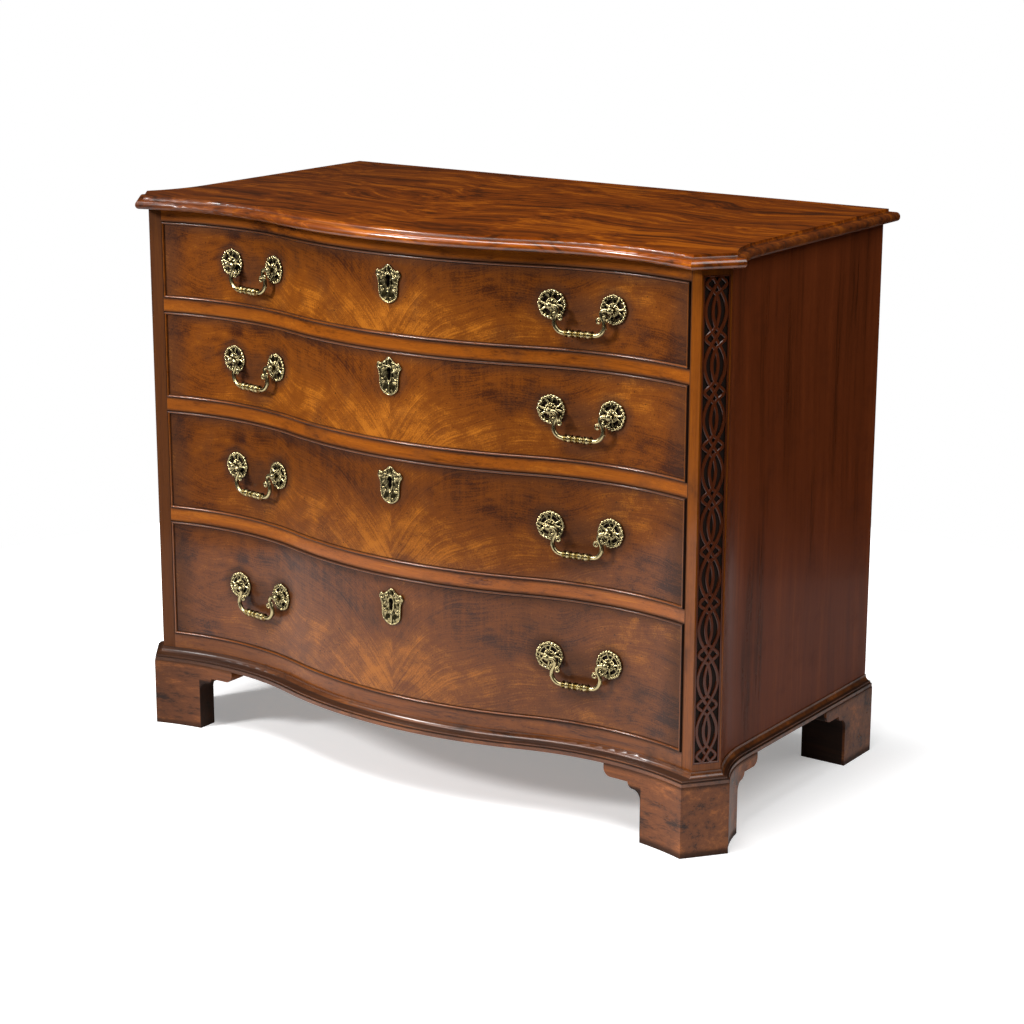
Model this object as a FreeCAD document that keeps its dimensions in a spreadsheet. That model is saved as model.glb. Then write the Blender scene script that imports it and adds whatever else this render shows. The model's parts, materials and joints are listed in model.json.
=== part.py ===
import FreeCAD, Part
import math
import os
import re
import Sketcher
from FreeCAD import Placement, Rotation, Vector

# Serpentine dressing chest: four graduated drawers in a case with a bowed and
# hollowed front, canted corners with blind frets, a moulded top and bracket feet.
# Lengths are millimetres. +Z is up and the front looks along -Y. In the sketches
# y runs back from the corner line, which joins the front arrises of the two cants.

# Driving sizes: alias, value
SIZES = (
    # plan of the case
    ("corner_half", 500),
    ("case_depth", 531),
    ("bow", 38),
    ("hollow", 22),
    ("hollow_run", 139),
    ("cant_x", 27),
    ("cant_y", 34.5),
    ("flare_in", 27),
    ("side_thick", 20),
    ("flare_radius", 200),
    ("post_depth", 70),
    # heights
    ("foot_height", 106),
    ("base_height", 18),
    ("bottom_rail_show", 23),
    ("rail_thick", 21),
    ("top_rail_thick", 20.5),
    ("opening_1", 121),
    ("opening_2", 138),
    ("opening_3", 160),
    ("opening_4", 190),
    # top board
    ("top_overhang", 18.5),
    ("front_more", 10),
    ("top_bull", 13.5),
    ("top_bull_radius", 6.6),
    ("top_upper", 6),
    ("top_inset", 13),
    ("top_cove", 3.5),
    # inside of the case
    ("rail_depth", 90),
    ("back_thick", 12),
    ("back_lip", 10),
    ("back_boards", 4),
    ("runner_width", 25),
    ("dust_thick", 8),
    ("bottom_thick", 14),
    ("bottom_runner", 6),
    ("stop_width", 50),
    ("stop_depth", 20),
    ("stop_height", 6),
    ("stop_gap", 0.5),
    # base moulding profile, outward from the case face
    ("base_band_out", 12.5),
    ("base_band_high", 6),
    ("base_fillet_out", 10),
    ("base_fillet_high", 3),
    ("base_neck_out", 1.5),
    ("base_cove", 7.5),
    # feet
    ("foot_proud", 13.5),
    ("foot_wall", 22.5),
    ("foot_sole", 81),
    ("foot_wing", 146),
    ("side_sole", 71),
    ("side_wing", 132),
    ("rear_sole", 88),
    ("rear_wing", 152),
    ("rear_block", 62),
    ("foot_wing_thick", 18.5),
    ("foot_nose", 12),
    ("foot_ogee", 9),
    ("foot_throat", 14),
    ("rear_board_sole", 70),
    ("rear_board_wing", 110),
    # drawers
    ("drawer_gap", 1.5),
    ("front_gap", 1),
    ("run_gap", 0.3),
    ("front_thick", 24),
    ("bead_thick", 3),
    ("bead_proud", 3),
    ("bead_depth", 8),
    ("lap_cover", 15),
    ("box_thick", 10),
    ("box_headroom", 12),
    ("box_back_gap", 14),
    ("box_bottom_thick", 7),
    ("box_bottom_rise", 8),
    ("groove_depth", 4),
    ("board_fit", 0.2),
    # handles
    ("handle_in", 61),
    ("handle_span", 93),
    ("handle_rise", 6),
    ("pivot_reach", 13),
    ("rod_radius", 2.8),
    ("pin_play", 0.08),
    ("pin_start", 5.8),
    ("neck_start", 8),
    ("neck_radius", 5),
    ("swan_radius", 14),
    ("swan_turn", 35),
    ("bail_drop", 37),
    ("collar_radius", 4.9),
    ("collar_far", 20.5),
    ("collar_near", 18.5),
    ("vase_radius", 5.2),
    ("vase_far", 17),
    ("vase_middle", 11.5),
    ("vase_near", 5),
    ("ring_half", 3),
    ("rosette_radius", 21.8),
    ("rosette_thick", 3.2),
    ("boss_radius", 5.6),
    ("shank_radius", 3),
    ("shank_fit", 0.15),
    ("nut_radius", 7),
    ("nut_thick", 3),
    ("seat_gap", 0.1),
    # locks
    ("lock_width", 70),
    ("lock_height", 62),
    ("lock_depth", 12),
    ("lock_fit", 0.3),
    ("bolt_width", 24),
    ("bolt_thick", 6),
    ("bolt_height", 20),
    ("bolt_throw", 9),
    ("bolt_set_back", 3),
    ("mortise_play", 1),
    ("escutcheon_width", 47),
    ("escutcheon_height", 59),
    ("escutcheon_thick", 2.4),
    ("key_drop_1", 44),
    ("key_drop_2", 38),
    ("key_drop_3", 42),
    ("key_drop_4", 48),
    ("key_up", 9),
    ("keyhole_radius", 3.5),
    ("keyhole_slot", 15),
    # corner frets
    ("fret_width", 39.5),
    ("fret_thick", 3),
    ("fret_margin", 10),
    ("fret_tail", 12),
    ("fret_bays", 9),
    ("fret_frame", 2.4),
    ("strand", 4.2),
)
DRAWER_COUNT = 4
DRAWERS = range(1, DRAWER_COUNT + 1)

doc = FreeCAD.newDocument("serpentine_chest")
sheet = doc.addObject("Spreadsheet::Sheet", "Sizes")
for row, (alias, value) in enumerate(SIZES, start=1):
    sheet.set(f"A{row}", alias)
    sheet.set(f"B{row}", str(value))
    sheet.setAlias(f"B{row}", alias)
doc.recompute()

ALIAS_WORDS = re.compile(r"\b(" + "|".join(alias for alias, value in SIZES) + r")\b")


def bound(formula):
    """A formula in plain size names, written for the expression engine."""
    return ALIAS_WORDS.sub(r"Sizes.\1", formula)


def size(formula):
    """The number that a formula in size names comes to."""
    result = sheet.evalExpression(bound(formula))
    return float(getattr(result, "Value", result))


def tie(target, prop, formula):
    """Bind a property to a formula in size names."""
    target.setExpression(prop, bound(formula))


# Formulas shared by several pieces
HOLLOW_X = "(corner_half - hollow_run)"
CANT_B_X = "(corner_half + cant_x)"
SIDE_HALF = f"({CANT_B_X} - flare_in)"
OPENING_HALF = f"({SIDE_HALF} - side_thick)"
FRONT_Y = "(-(case_depth - bow) / 2)"
HOLLOW_R = "((hollow_run^2 + hollow^2) / (2 * hollow))"
ARC_SUM = f"(({HOLLOW_X}^2 + (bow + hollow)^2) / (2 * (bow + hollow)))"
BOW_R = f"({ARC_SUM} - {HOLLOW_R})"
BOW_Y = f"({BOW_R} - bow)"
HOLLOW_Y = f"(hollow - {HOLLOW_R})"
FLARE_X = f"({SIDE_HALF} + flare_radius)"
FLARE_Y = "(cant_y + sqrt(flare_radius^2 - (flare_radius - flare_in)^2))"
BACK_INNER = "(case_depth - back_thick)"
BOTTOM_OF = {DRAWER_COUNT: "(foot_height + base_height + bottom_rail_show)"}
for number in reversed(DRAWERS[:-1]):
    BOTTOM_OF[number] = f"({BOTTOM_OF[number + 1]} + opening_{number + 1} + rail_thick)"
TOP_OF = {number: f"({BOTTOM_OF[number]} + opening_{number})" for number in DRAWERS}
CASE_TOP = f"({TOP_OF[1]} + top_rail_thick)"
CASE_HEIGHT = f"({CASE_TOP} - foot_height)"
DRAWER_HALF = f"({OPENING_HALF} - drawer_gap)"
BOX_BACK = f"({BACK_INNER} - box_back_gap)"

subparts = []


def finish(target, label):
    """Name a finished sub-part and put it on the list that is written out."""
    target.Label = label
    subparts.append(target)
    return target


def place(target, x="0", y="0", z="0"):
    """Put an object at x, y and z, with y counted back from the corner line."""
    tie(target, ".Placement.Base.x", x)
    tie(target, ".Placement.Base.y", f"{FRONT_Y} + {y}")
    tie(target, ".Placement.Base.z", z)


def box(name, x, y, z, length, width, height):
    """A rectangular board from its low corner and its three sizes."""
    board = doc.addObject("Part::Box", name)
    tie(board, "Length", length)
    tie(board, "Width", width)
    tie(board, "Height", height)
    place(board, x, y, z)
    return board


def centred_box(name, half, y, z, width, height):
    """A board of the given half length, centred across the chest."""
    return box(name, f"-{half}", y, z, f"2 * {half}", width, height)


def cut(name, base, tools):
    """The base with every tool taken out of it."""
    tool = tools[0]
    if len(tools) > 1:
        tool = doc.addObject("Part::MultiFuse", f"{name}_tools")
        tool.Shapes = tools
    result = doc.addObject("Part::Cut", name)
    result.Base = base
    result.Tool = tool
    return result


def group(name, members):
    """Several separate solids kept as one sub-part."""
    result = doc.addObject("Part::Compound", name)
    result.Links = members
    return result


def mirrored(name, source):
    """The mirror image of a right-hand piece, for the left."""
    result = doc.addObject("Part::Mirroring", name)
    result.Source = source
    result.Normal = Vector(1, 0, 0)
    return result


def origin_plane(body, role):
    """A body's own origin plane, found by its role."""
    return next(plane for plane in body.Origin.OriginFeatures if plane.Role == role)


def body_sketch(body, name, role="XY_Plane"):
    """A new sketch on one of the body's origin planes."""
    sketch = body.newObject("Sketcher::SketchObject", name)
    sketch.AttachmentSupport = [(origin_plane(body, role), "")]
    sketch.MapMode = "FlatFace"
    return sketch


def set_datum(sketch, index, formula):
    """Bind one constraint of a sketch to a formula."""
    sketch.setExpression(f"Constraints[{index}]", bound(formula))


def signed(sketch, kind, geometry, point, formula):
    """Hold one coordinate of a point, measured from the sketch's origin."""
    value = size(formula)
    if abs(value) < 1e-9:
        axis = -2 if kind == "DistanceX" else -1
        sketch.addConstraint(Sketcher.Constraint("PointOnObject", geometry, point, axis))
    elif value > 0:
        index = sketch.addConstraint(Sketcher.Constraint(kind, -1, 1, geometry, point, value))
        set_datum(sketch, index, formula)
    else:
        index = sketch.addConstraint(Sketcher.Constraint(kind, geometry, point, -1, 1, -value))
        set_datum(sketch, index, f"-({formula})")


def hold(sketch, geometry, point, x=None, y=None):
    """Hold a point of a sketch at x, at y, or at both."""
    if x is not None:
        signed(sketch, "DistanceX", geometry, point, x)
    if y is not None:
        signed(sketch, "DistanceY", geometry, point, y)


def join(sketch, first, first_point, second, second_point):
    """Make two ends of a sketch coincide."""
    sketch.addConstraint(Sketcher.Constraint("Coincident", first, first_point, second, second_point))


def sketch_line(sketch, start, end):
    """A line between two points given as numbers."""
    return sketch.addGeometry(Part.LineSegment(Vector(*start, 0), Vector(*end, 0)))


def sketch_arc(sketch, centre, radius, start, end):
    """An arc, counter-clockwise, between two angles in radians."""
    circle = Part.Circle(Vector(*centre, 0), Vector(0, 0, 1), radius)
    return sketch.addGeometry(Part.ArcOfCircle(circle, start, end))


def angle_to(centre, point):
    """The direction from a centre to a point, in radians."""
    return math.atan2(point[1] - centre[1], point[0] - centre[0])


def polygon(sketch, corners):
    """A closed outline of straight lines through corners given as formulas."""
    points = [(size(x), size(y)) for x, y in corners]
    lines = []
    for index, point in enumerate(points):
        following = points[(index + 1) % len(points)]
        lines.append(sketch_line(sketch, point, following))
    for index, line in enumerate(lines):
        join(sketch, line, 2, lines[(index + 1) % len(lines)], 1)
        hold(sketch, line, 1, *corners[index])


# Serpentine outline: a bow in the middle and a hollow at each end
def serpentine_edge(sketch, ahead):
    """Three arcs parallel to the front, ahead of its face; the outer ends stay free.

    The bow's circle and the hollows' circles touch, so any parallel edge keeps
    their centres and only adds to one radius what it takes from the other.
    """
    bow_centre = (0.0, size(BOW_Y))
    bow_radius = size(f"{BOW_R} + {ahead}")
    joint_x = f"({BOW_R} + {ahead}) * {HOLLOW_X} / {ARC_SUM}"
    lean = math.asin(size(joint_x) / bow_radius)
    middle = sketch_arc(sketch, bow_centre, bow_radius, 1.5 * math.pi - lean, 1.5 * math.pi + lean)
    hold(sketch, middle, 3, "0", BOW_Y)
    index = sketch.addConstraint(Sketcher.Constraint("Radius", middle, bow_radius))
    set_datum(sketch, index, f"{BOW_R} + {ahead}")
    hold(sketch, middle, 1, f"-{joint_x}")
    hold(sketch, middle, 2, joint_x)

    hollow_radius = size(f"{HOLLOW_R} - {ahead}")
    reach = math.asin(size("hollow_run") / hollow_radius)
    right_centre = (size(HOLLOW_X), size(HOLLOW_Y))
    right = sketch_arc(sketch, right_centre, hollow_radius, math.pi / 2 - reach, math.pi / 2 + lean)
    left_centre = (-right_centre[0], right_centre[1])
    left = sketch_arc(sketch, left_centre, hollow_radius, math.pi / 2 - lean, math.pi / 2 + reach)
    hold(sketch, right, 3, HOLLOW_X, HOLLOW_Y)
    hold(sketch, left, 3, f"-{HOLLOW_X}", HOLLOW_Y)
    join(sketch, right, 2, middle, 2)
    join(sketch, left, 1, middle, 1)
    return left, middle, right


def end_y(ahead, half):
    """Where a parallel of the hollow stands at the given half width, as a number."""
    radius = size(f"{HOLLOW_R} - {ahead}")
    return size(HOLLOW_Y) + math.sqrt(radius ** 2 - (size(half) - size(HOLLOW_X)) ** 2)


def front_strip(sketch, ahead, half, behind=None, back_edge=None):
    """A strip whose front edge is serpentine, with a parallel or a straight back edge."""
    left, middle, right = serpentine_edge(sketch, ahead)
    hold(sketch, right, 1, half)
    hold(sketch, left, 2, f"-{half}")
    width = size(half)
    front_end = end_y(ahead, half)
    if back_edge is None:
        back_left, back_middle, back_right = serpentine_edge(sketch, behind)
        hold(sketch, back_right, 1, half)
        hold(sketch, back_left, 2, f"-{half}")
        back_end = end_y(behind, half)
        right_side = sketch_line(sketch, (width, front_end), (width, back_end))
        left_side = sketch_line(sketch, (-width, front_end), (-width, back_end))
        join(sketch, right_side, 2, back_right, 1)
        join(sketch, left_side, 2, back_left, 2)
    else:
        back_end = size(back_edge)
        right_side = sketch_line(sketch, (width, front_end), (width, back_end))
        left_side = sketch_line(sketch, (-width, front_end), (-width, back_end))
        back = sketch_line(sketch, (width, back_end), (-width, back_end))
        join(sketch, right_side, 2, back, 1)
        join(sketch, left_side, 2, back, 2)
        hold(sketch, back, 1, half, back_edge)
        hold(sketch, back, 2, f"-{half}", back_edge)
    join(sketch, right_side, 1, right, 1)
    join(sketch, left_side, 1, left, 2)


def meet(point, direction, centre, radius):
    """Where a line crosses a circle, at the crossing nearest its own point."""
    along = (centre[0] - point[0]) * direction[0] + (centre[1] - point[1]) * direction[1]
    foot = (point[0] + along * direction[0], point[1] + along * direction[1])
    half_chord = math.sqrt(radius ** 2 - (foot[0] - centre[0]) ** 2 - (foot[1] - centre[1]) ** 2)
    crossings = []
    for sign in (-1, 1):
        step = sign * half_chord
        crossings.append((foot[0] + step * direction[0], foot[1] + step * direction[1]))
    return min(crossings, key=lambda hit: math.dist(hit, point))


def case_outline(sketch, out=None, more="0"):
    """The plan of the whole case, grown by out, and by that much more in front.

    It runs along the front, the cants, the flared sides and the back.
    """
    grown = out if out is not None else "0"
    ahead = f"({grown} + {more})"
    left, middle, right = serpentine_edge(sketch, ahead)
    corner_a = (size("corner_half"), 0.0)
    corner_b = (size(CANT_B_X), size("cant_y"))
    cant_length = math.dist(corner_a, corner_b)
    along = ((corner_b[0] - corner_a[0]) / cant_length, (corner_b[1] - corner_a[1]) / cant_length)
    outward = (along[1], -along[0])
    step = size(grown)
    start_a = (corner_a[0] + outward[0] * step, corner_a[1] + outward[1] * step)
    start_b = (corner_b[0] + outward[0] * step, corner_b[1] + outward[1] * step)
    hollow_centre = (size(HOLLOW_X), size(HOLLOW_Y))
    flare_centre = (size(FLARE_X), size(FLARE_Y))
    flare_radius = size(f"flare_radius - {grown}")
    grown_a = meet(start_a, along, hollow_centre, size(f"{HOLLOW_R} - {ahead}"))
    grown_b = meet(start_b, along, flare_centre, flare_radius)
    swing = math.pi + math.atan2(flare_centre[1] - grown_b[1], flare_centre[0] - grown_b[0])
    side_x = size(f"{SIDE_HALF} + {grown}")
    back_y = size(f"case_depth + {grown}")
    for sign, front in ((1, right), (-1, left)):
        front_end = 1 if sign > 0 else 2
        cant = sketch_line(sketch, (sign * grown_a[0], grown_a[1]), (sign * grown_b[0], grown_b[1]))
        join(sketch, cant, 1, front, front_end)
        centre = (sign * flare_centre[0], flare_centre[1])
        if sign > 0:
            flare = sketch_arc(sketch, centre, flare_radius, math.pi, swing)
            flare_front, flare_back = 2, 1
        else:
            flare = sketch_arc(sketch, centre, flare_radius, 3 * math.pi - swing, 2 * math.pi)
            flare_front, flare_back = 1, 2
        join(sketch, cant, 2, flare, flare_front)
        mark = "" if sign > 0 else "-"
        hold(sketch, flare, 3, f"{mark}{FLARE_X}", FLARE_Y)
        hold(sketch, flare, flare_back, f"{mark}({SIDE_HALF} + {grown})", FLARE_Y)
        if out is None:
            hold(sketch, cant, 1, f"{mark}corner_half")
            hold(sketch, cant, 2, f"{mark}{CANT_B_X}")
        else:
            guide = sketch_line(sketch, (sign * corner_a[0], corner_a[1]), (sign * corner_b[0], corner_b[1]))
            sketch.setConstruction(guide, True)
            hold(sketch, guide, 1, f"{mark}corner_half", "0")
            hold(sketch, guide, 2, f"{mark}{CANT_B_X}", "cant_y")
            sketch.addConstraint(Sketcher.Constraint("Parallel", cant, guide))
            index = sketch.addConstraint(Sketcher.Constraint("Distance", guide, 1, cant, abs(step)))
            set_datum(sketch, index, f"abs({grown})")
        side = sketch_line(sketch, (sign * side_x, flare_centre[1]), (sign * side_x, back_y))
        join(sketch, side, 1, flare, flare_back)
        hold(sketch, side, 2, f"{mark}({SIDE_HALF} + {grown})", f"case_depth + {grown}")
        if sign > 0:
            right_side = side
    back = sketch_line(sketch, (side_x, back_y), (-side_x, back_y))
    join(sketch, back, 1, right_side, 2)
    join(sketch, back, 2, side, 2)


def plan_body(name, z, layers):
    """A body padded upwards from plan sketches: (drawing function, start height, thickness)."""
    body = doc.addObject("PartDesign::Body", name)
    for number, (draw, rise, thickness) in enumerate(layers, start=1):
        sketch = body_sketch(body, f"{name}_plan_{number}")
        tie(sketch, ".AttachmentOffset.Base.z", rise)
        draw(sketch)
        pad = body.newObject("PartDesign::Pad", f"{name}_pad_{number}")
        pad.Profile = sketch
        tie(pad, "Length", thickness)
    place(body, z=z)
    return body


def strip_body(name, z, height, ahead, half, behind=None, back_edge=None):
    """One serpentine strip padded to its height."""

    def draw(sketch):
        front_strip(sketch, ahead, half, behind, back_edge)

    return plan_body(name, z, [(draw, "0", height)])


# How near an edge lies to the outline it was padded from
EDGE_MATCH = 0.01


def outline_edges(feature, sketch, height):
    """The edges of a pad that stand over a sketch's outline at one height, without the back."""
    back_y = max(edge.BoundBox.YMin for edge in sketch.Shape.Edges)
    middles = []
    for edge in sketch.Shape.Edges:
        if edge.BoundBox.YMin < back_y - EDGE_MATCH:
            middles.append(edge.valueAt((edge.FirstParameter + edge.LastParameter) / 2))
    names = []
    for number, edge in enumerate(feature.Shape.Edges, start=1):
        middle = edge.valueAt((edge.FirstParameter + edge.LastParameter) / 2)
        if abs(middle.z - height) > EDGE_MATCH or edge.BoundBox.ZLength > EDGE_MATCH:
            continue
        if any(math.hypot(middle.x - other.x, middle.y - other.y) < EDGE_MATCH for other in middles):
            names.append(f"Edge{number}")
    return names


def round_edges(body, name, radius, choices):
    """A fillet on the edges that stand over outlines: (sketch name, height) pairs."""
    doc.recompute()
    base = body.Tip
    edges = []
    for sketch_name, height in choices:
        edges += outline_edges(base, doc.getObject(sketch_name), size(height))
    fillet = body.newObject("PartDesign::Fillet", name)
    fillet.Base = (base, edges)
    tie(fillet, "Radius", radius)
    body.Tip = fillet
    return fillet


# Top board: a bullnose below, a cove and a small fillet above
def make_top_board():
    def lower(sketch):
        case_outline(sketch, "top_overhang", "front_more")

    def upper(sketch):
        case_outline(sketch, "(top_overhang - top_inset)", "front_more")

    layers = [(lower, "0", "top_bull"), (upper, "top_bull", "top_upper")]
    body = plan_body("top_board", CASE_TOP, layers)
    round_edges(body, "top_cove_edge", "top_cove", [("top_board_plan_2", "top_bull")])
    bull = [("top_board_plan_1", "0"), ("top_board_plan_1", "top_bull")]
    round_edges(body, "top_bull_edge", "top_bull_radius", bull)
    finish(body, "top_board")


# Sides: flat boards that flare out in a hollow sweep to the canted corner
def draw_side(sketch):
    """The right side from the flare at the cant to the back edge."""
    centre = (size(FLARE_X), size(FLARE_Y))
    corner_b = (size(CANT_B_X), size("cant_y"))
    start = (size(SIDE_HALF), centre[1])
    inner = size(OPENING_HALF)
    back_y = size("case_depth")
    post_y = size("post_depth")
    swing = 2 * math.pi + angle_to(centre, corner_b)
    flare = sketch_arc(sketch, centre, size("flare_radius"), math.pi, swing)
    outside = sketch_line(sketch, start, (start[0], back_y))
    rear = sketch_line(sketch, (start[0], back_y), (inner, back_y))
    inside = sketch_line(sketch, (inner, back_y), (inner, post_y))
    mitre = sketch_line(sketch, (inner, post_y), corner_b)
    join(sketch, flare, 1, outside, 1)
    join(sketch, outside, 2, rear, 1)
    join(sketch, rear, 2, inside, 1)
    join(sketch, inside, 2, mitre, 1)
    join(sketch, mitre, 2, flare, 2)
    hold(sketch, flare, 3, FLARE_X, FLARE_Y)
    hold(sketch, flare, 1, SIDE_HALF, FLARE_Y)
    hold(sketch, flare, 2, CANT_B_X)
    hold(sketch, rear, 1, SIDE_HALF, "case_depth")
    hold(sketch, rear, 2, OPENING_HALF, "case_depth")
    hold(sketch, mitre, 1, OPENING_HALF, "post_depth")


def make_sides():
    board = plan_body("side_board", "foot_height", [(draw_side, "0", CASE_HEIGHT)])
    rebate_sizes = ("back_lip", "2 * back_thick", CASE_HEIGHT)
    rebate = box("side_rebate", OPENING_HALF, BACK_INNER, "foot_height", *rebate_sizes)
    right = cut("side_right", board, [rebate])
    finish(right, "side_right")
    finish(mirrored("side_left", right), "side_left")


# Corner posts: the narrow front stile, the cant and its sunk panel
CANT_ANGLE = "atan(cant_y / cant_x)"
CANT_LENGTH = "sqrt(cant_x^2 + cant_y^2)"
FRET_BOTTOM = "(foot_height + base_height + fret_margin)"
FRET_HEIGHT = f"({CASE_TOP} - fret_margin - {FRET_BOTTOM})"


def draw_post(sketch):
    """The right corner post: stile front, cant, and the joint with the side."""
    centre = (size(HOLLOW_X), size(HOLLOW_Y))
    corner_a = (size("corner_half"), 0.0)
    corner_b = (size(CANT_B_X), size("cant_y"))
    inner = size(OPENING_HALF)
    stile = (inner, end_y("0", OPENING_HALF))
    behind = (inner, size("post_depth"))
    face = sketch_arc(sketch, centre, size(HOLLOW_R), angle_to(centre, corner_a), angle_to(centre, stile))
    cant = sketch_line(sketch, corner_a, corner_b)
    mitre = sketch_line(sketch, corner_b, behind)
    inside = sketch_line(sketch, behind, stile)
    join(sketch, face, 1, cant, 1)
    join(sketch, cant, 2, mitre, 1)
    join(sketch, mitre, 2, inside, 1)
    join(sketch, inside, 2, face, 2)
    hold(sketch, face, 3, HOLLOW_X, HOLLOW_Y)
    hold(sketch, cant, 1, "corner_half", "0")
    hold(sketch, cant, 2, CANT_B_X, "cant_y")
    hold(sketch, mitre, 2, OPENING_HALF, "post_depth")
    hold(sketch, face, 2, OPENING_HALF)


def on_cant(target, along, z):
    """Put a piece on the right cant, its X along the cant and its Y into the post."""
    tie(target, ".Placement.Base.x", f"corner_half + ({along}) * cant_x / {CANT_LENGTH}")
    tie(target, ".Placement.Base.y", f"{FRONT_Y} + ({along}) * cant_y / {CANT_LENGTH}")
    tie(target, ".Placement.Base.z", z)
    target.Placement.Rotation = Rotation(Vector(0, 0, 1), size(CANT_ANGLE))
    tie(target, ".Placement.Rotation.Angle", CANT_ANGLE)


def make_corner_posts():
    post = plan_body("post_block", "foot_height", [(draw_post, "0", CASE_HEIGHT)])
    recess = doc.addObject("Part::Box", "fret_recess")
    tie(recess, "Length", "fret_width")
    tie(recess, "Width", "fret_thick")
    tie(recess, "Height", FRET_HEIGHT)
    on_cant(recess, f"({CANT_LENGTH} - fret_width) / 2", FRET_BOTTOM)
    right = cut("corner_post_right", post, [recess])
    finish(group("corner_posts", [right, mirrored("corner_post_left", right)]), "corner_posts")


# Blind fret: interlaced strands, drawn by the holes between them
def inset_corners(corners, margin):
    """A convex outline's corners moved in so that each side shifts by the margin."""
    count = len(corners)
    moved = []
    for index in range(count):
        before, corner, after = corners[index - 1], corners[index], corners[(index + 1) % count]
        into = Vector(corner[0] - before[0], corner[1] - before[1], 0).normalize()
        away = Vector(after[0] - corner[0], after[1] - corner[1], 0).normalize()
        normal_in = Vector(-into.y, into.x, 0)
        normal_out = Vector(-away.y, away.x, 0)
        shift = (normal_in + normal_out) * (margin / (1 + normal_in.dot(normal_out)))
        moved.append((corner[0] + shift.x, corner[1] + shift.y))
    return moved


def fret_point(point):
    """A point of the fret's face, whose plane is its own X and Z."""
    return Vector(point[0], 0, point[1])


def straight_hole(corners):
    """A closed wire of straight edges on the fret's face."""
    points = [fret_point(corner) for corner in corners]
    return Part.makePolygon(points + points[:1])


def leaf_hole(low, high, one_side, other_side):
    """A pointed hole between two arcs through the given middle points."""
    first = Part.Arc(fret_point(low), fret_point(one_side), fret_point(high)).toShape()
    second = Part.Arc(fret_point(high), fret_point(other_side), fret_point(low)).toShape()
    return Part.Wire([first, second])


# Where the strands cross and turn, as shares of the panel's half width and of a bay's height
CROSS_ACROSS = 0.38
CROSS_UP = 0.125
TIP_UP = 0.2
LEAF_ACROSS = 0.22
# How far a crescent's ends stand off the crossing, in half strands
CRESCENT_ACROSS = 0.3
CRESCENT_UP = 2.2


def fret_holes():
    """Every hole of one fret: leaves, crescents, corners and the diamonds at each crossing."""
    half = size("fret_width / 2 - fret_frame")
    pitch = size(f"({FRET_HEIGHT} - 2 * fret_tail) / fret_bays")
    tail = size("fret_tail")
    margin = size("strand / 2")
    bays = int(size("fret_bays"))
    cross_x = CROSS_ACROSS * half
    cross_y = CROSS_UP * pitch
    tip_y = TIP_UP * pitch
    leaf_half = LEAF_ACROSS * half
    crescent_x = cross_x + CRESCENT_ACROSS * margin
    crescent_y = cross_y + CRESCENT_UP * margin
    holes = []
    for bay in range(bays):
        low = tail + bay * pitch
        high = low + pitch
        middle = low + pitch / 2
        leaf_low = (0, low + tip_y + 2 * margin)
        leaf_high = (0, high - tip_y - 2 * margin)
        holes.append(leaf_hole(leaf_low, leaf_high, (leaf_half, middle), (-leaf_half, middle)))
        for sign in (1, -1):
            foot = (sign * crescent_x, low + crescent_y)
            head = (sign * crescent_x, high - crescent_y)
            outer = (sign * (half - 2 * margin), middle)
            inner = (sign * (leaf_half + 2 * margin), middle)
            holes.append(leaf_hole(foot, head, outer, inner))
            corner = [(half, low), (half, middle), (cross_x, low + cross_y)]
            upper = [(half, middle), (half, high), (cross_x, high - cross_y)]
            for triangle in (corner, upper):
                inside = inset_corners(triangle, margin)
                holes.append(straight_hole([(sign * x, y) for x, y in inside]))
        for base, rise in ((low, 1), (high, -1)):
            diamond = [(0, base), (cross_x, base + rise * cross_y), (0, base + rise * tip_y)]
            diamond.append((-cross_x, base + rise * cross_y))
            holes.append(straight_hole(inset_corners(diamond, rise * margin)))
    for crossing in range(bays + 1):
        level = tail + crossing * pitch
        for sign in (1, -1):
            diamond = [(0, level), (cross_x, level - cross_y), (half, level), (cross_x, level + cross_y)]
            inside = inset_corners(diamond, margin)
            holes.append(straight_hole([(sign * x, y) for x, y in inside]))
    for level, rise in ((tail, -1), (tail + bays * pitch, 1)):
        wedge = [(0, level), (cross_x, level + rise * cross_y), (-cross_x, level + rise * cross_y)]
        holes.append(straight_hole(inset_corners(wedge, rise * margin)))
    return holes


def make_corner_frets():
    half = size("fret_width / 2")
    height = size(FRET_HEIGHT)
    edge = straight_hole([(-half, 0), (half, 0), (half, height), (-half, height)])
    face = Part.Face([edge] + fret_holes(), "Part::FaceMakerBullseye")
    right = doc.addObject("Part::Feature", "corner_fret_right")
    right.Shape = face.extrude(Vector(0, size("fret_thick"), 0))
    on_cant(right, f"{CANT_LENGTH} / 2", FRET_BOTTOM)
    finish(group("corner_frets", [right, mirrored("corner_fret_left", right)]), "corner_frets")


# Rails across the front and the boards behind them
LOCK_Y = "(front_thick - bow - lock_depth)"


def mortise(number):
    """The slot over a drawer that takes its lock bolt."""
    half = "(bolt_width / 2 + mortise_play)"
    y = f"{LOCK_Y} + bolt_set_back - mortise_play"
    across = "bolt_thick + 2 * mortise_play"
    return centred_box(f"mortise_{number}", half, y, TOP_OF[number], across, "bolt_throw")


def rail(name, number, z, height):
    """A front rail with a serpentine face and the mortise for the lock below it."""
    strip = strip_body(f"{name}_strip", z, height, "0", OPENING_HALF, back_edge="rail_depth")
    if number is None:
        return strip
    return cut(name, strip, [mortise(number)])


def make_rails():
    finish(rail("top_rail", 1, TOP_OF[1], "top_rail_thick"), "top_rail")
    dividers = []
    for number in DRAWERS[1:]:
        dividers.append(rail(f"drawer_rail_{number}", number, TOP_OF[number], "rail_thick"))
    finish(group("drawer_rails", dividers), "drawer_rails")
    height = f"{BOTTOM_OF[DRAWER_COUNT]} - foot_height"
    finish(rail("bottom_rail", None, "foot_height", height), "bottom_rail")


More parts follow.
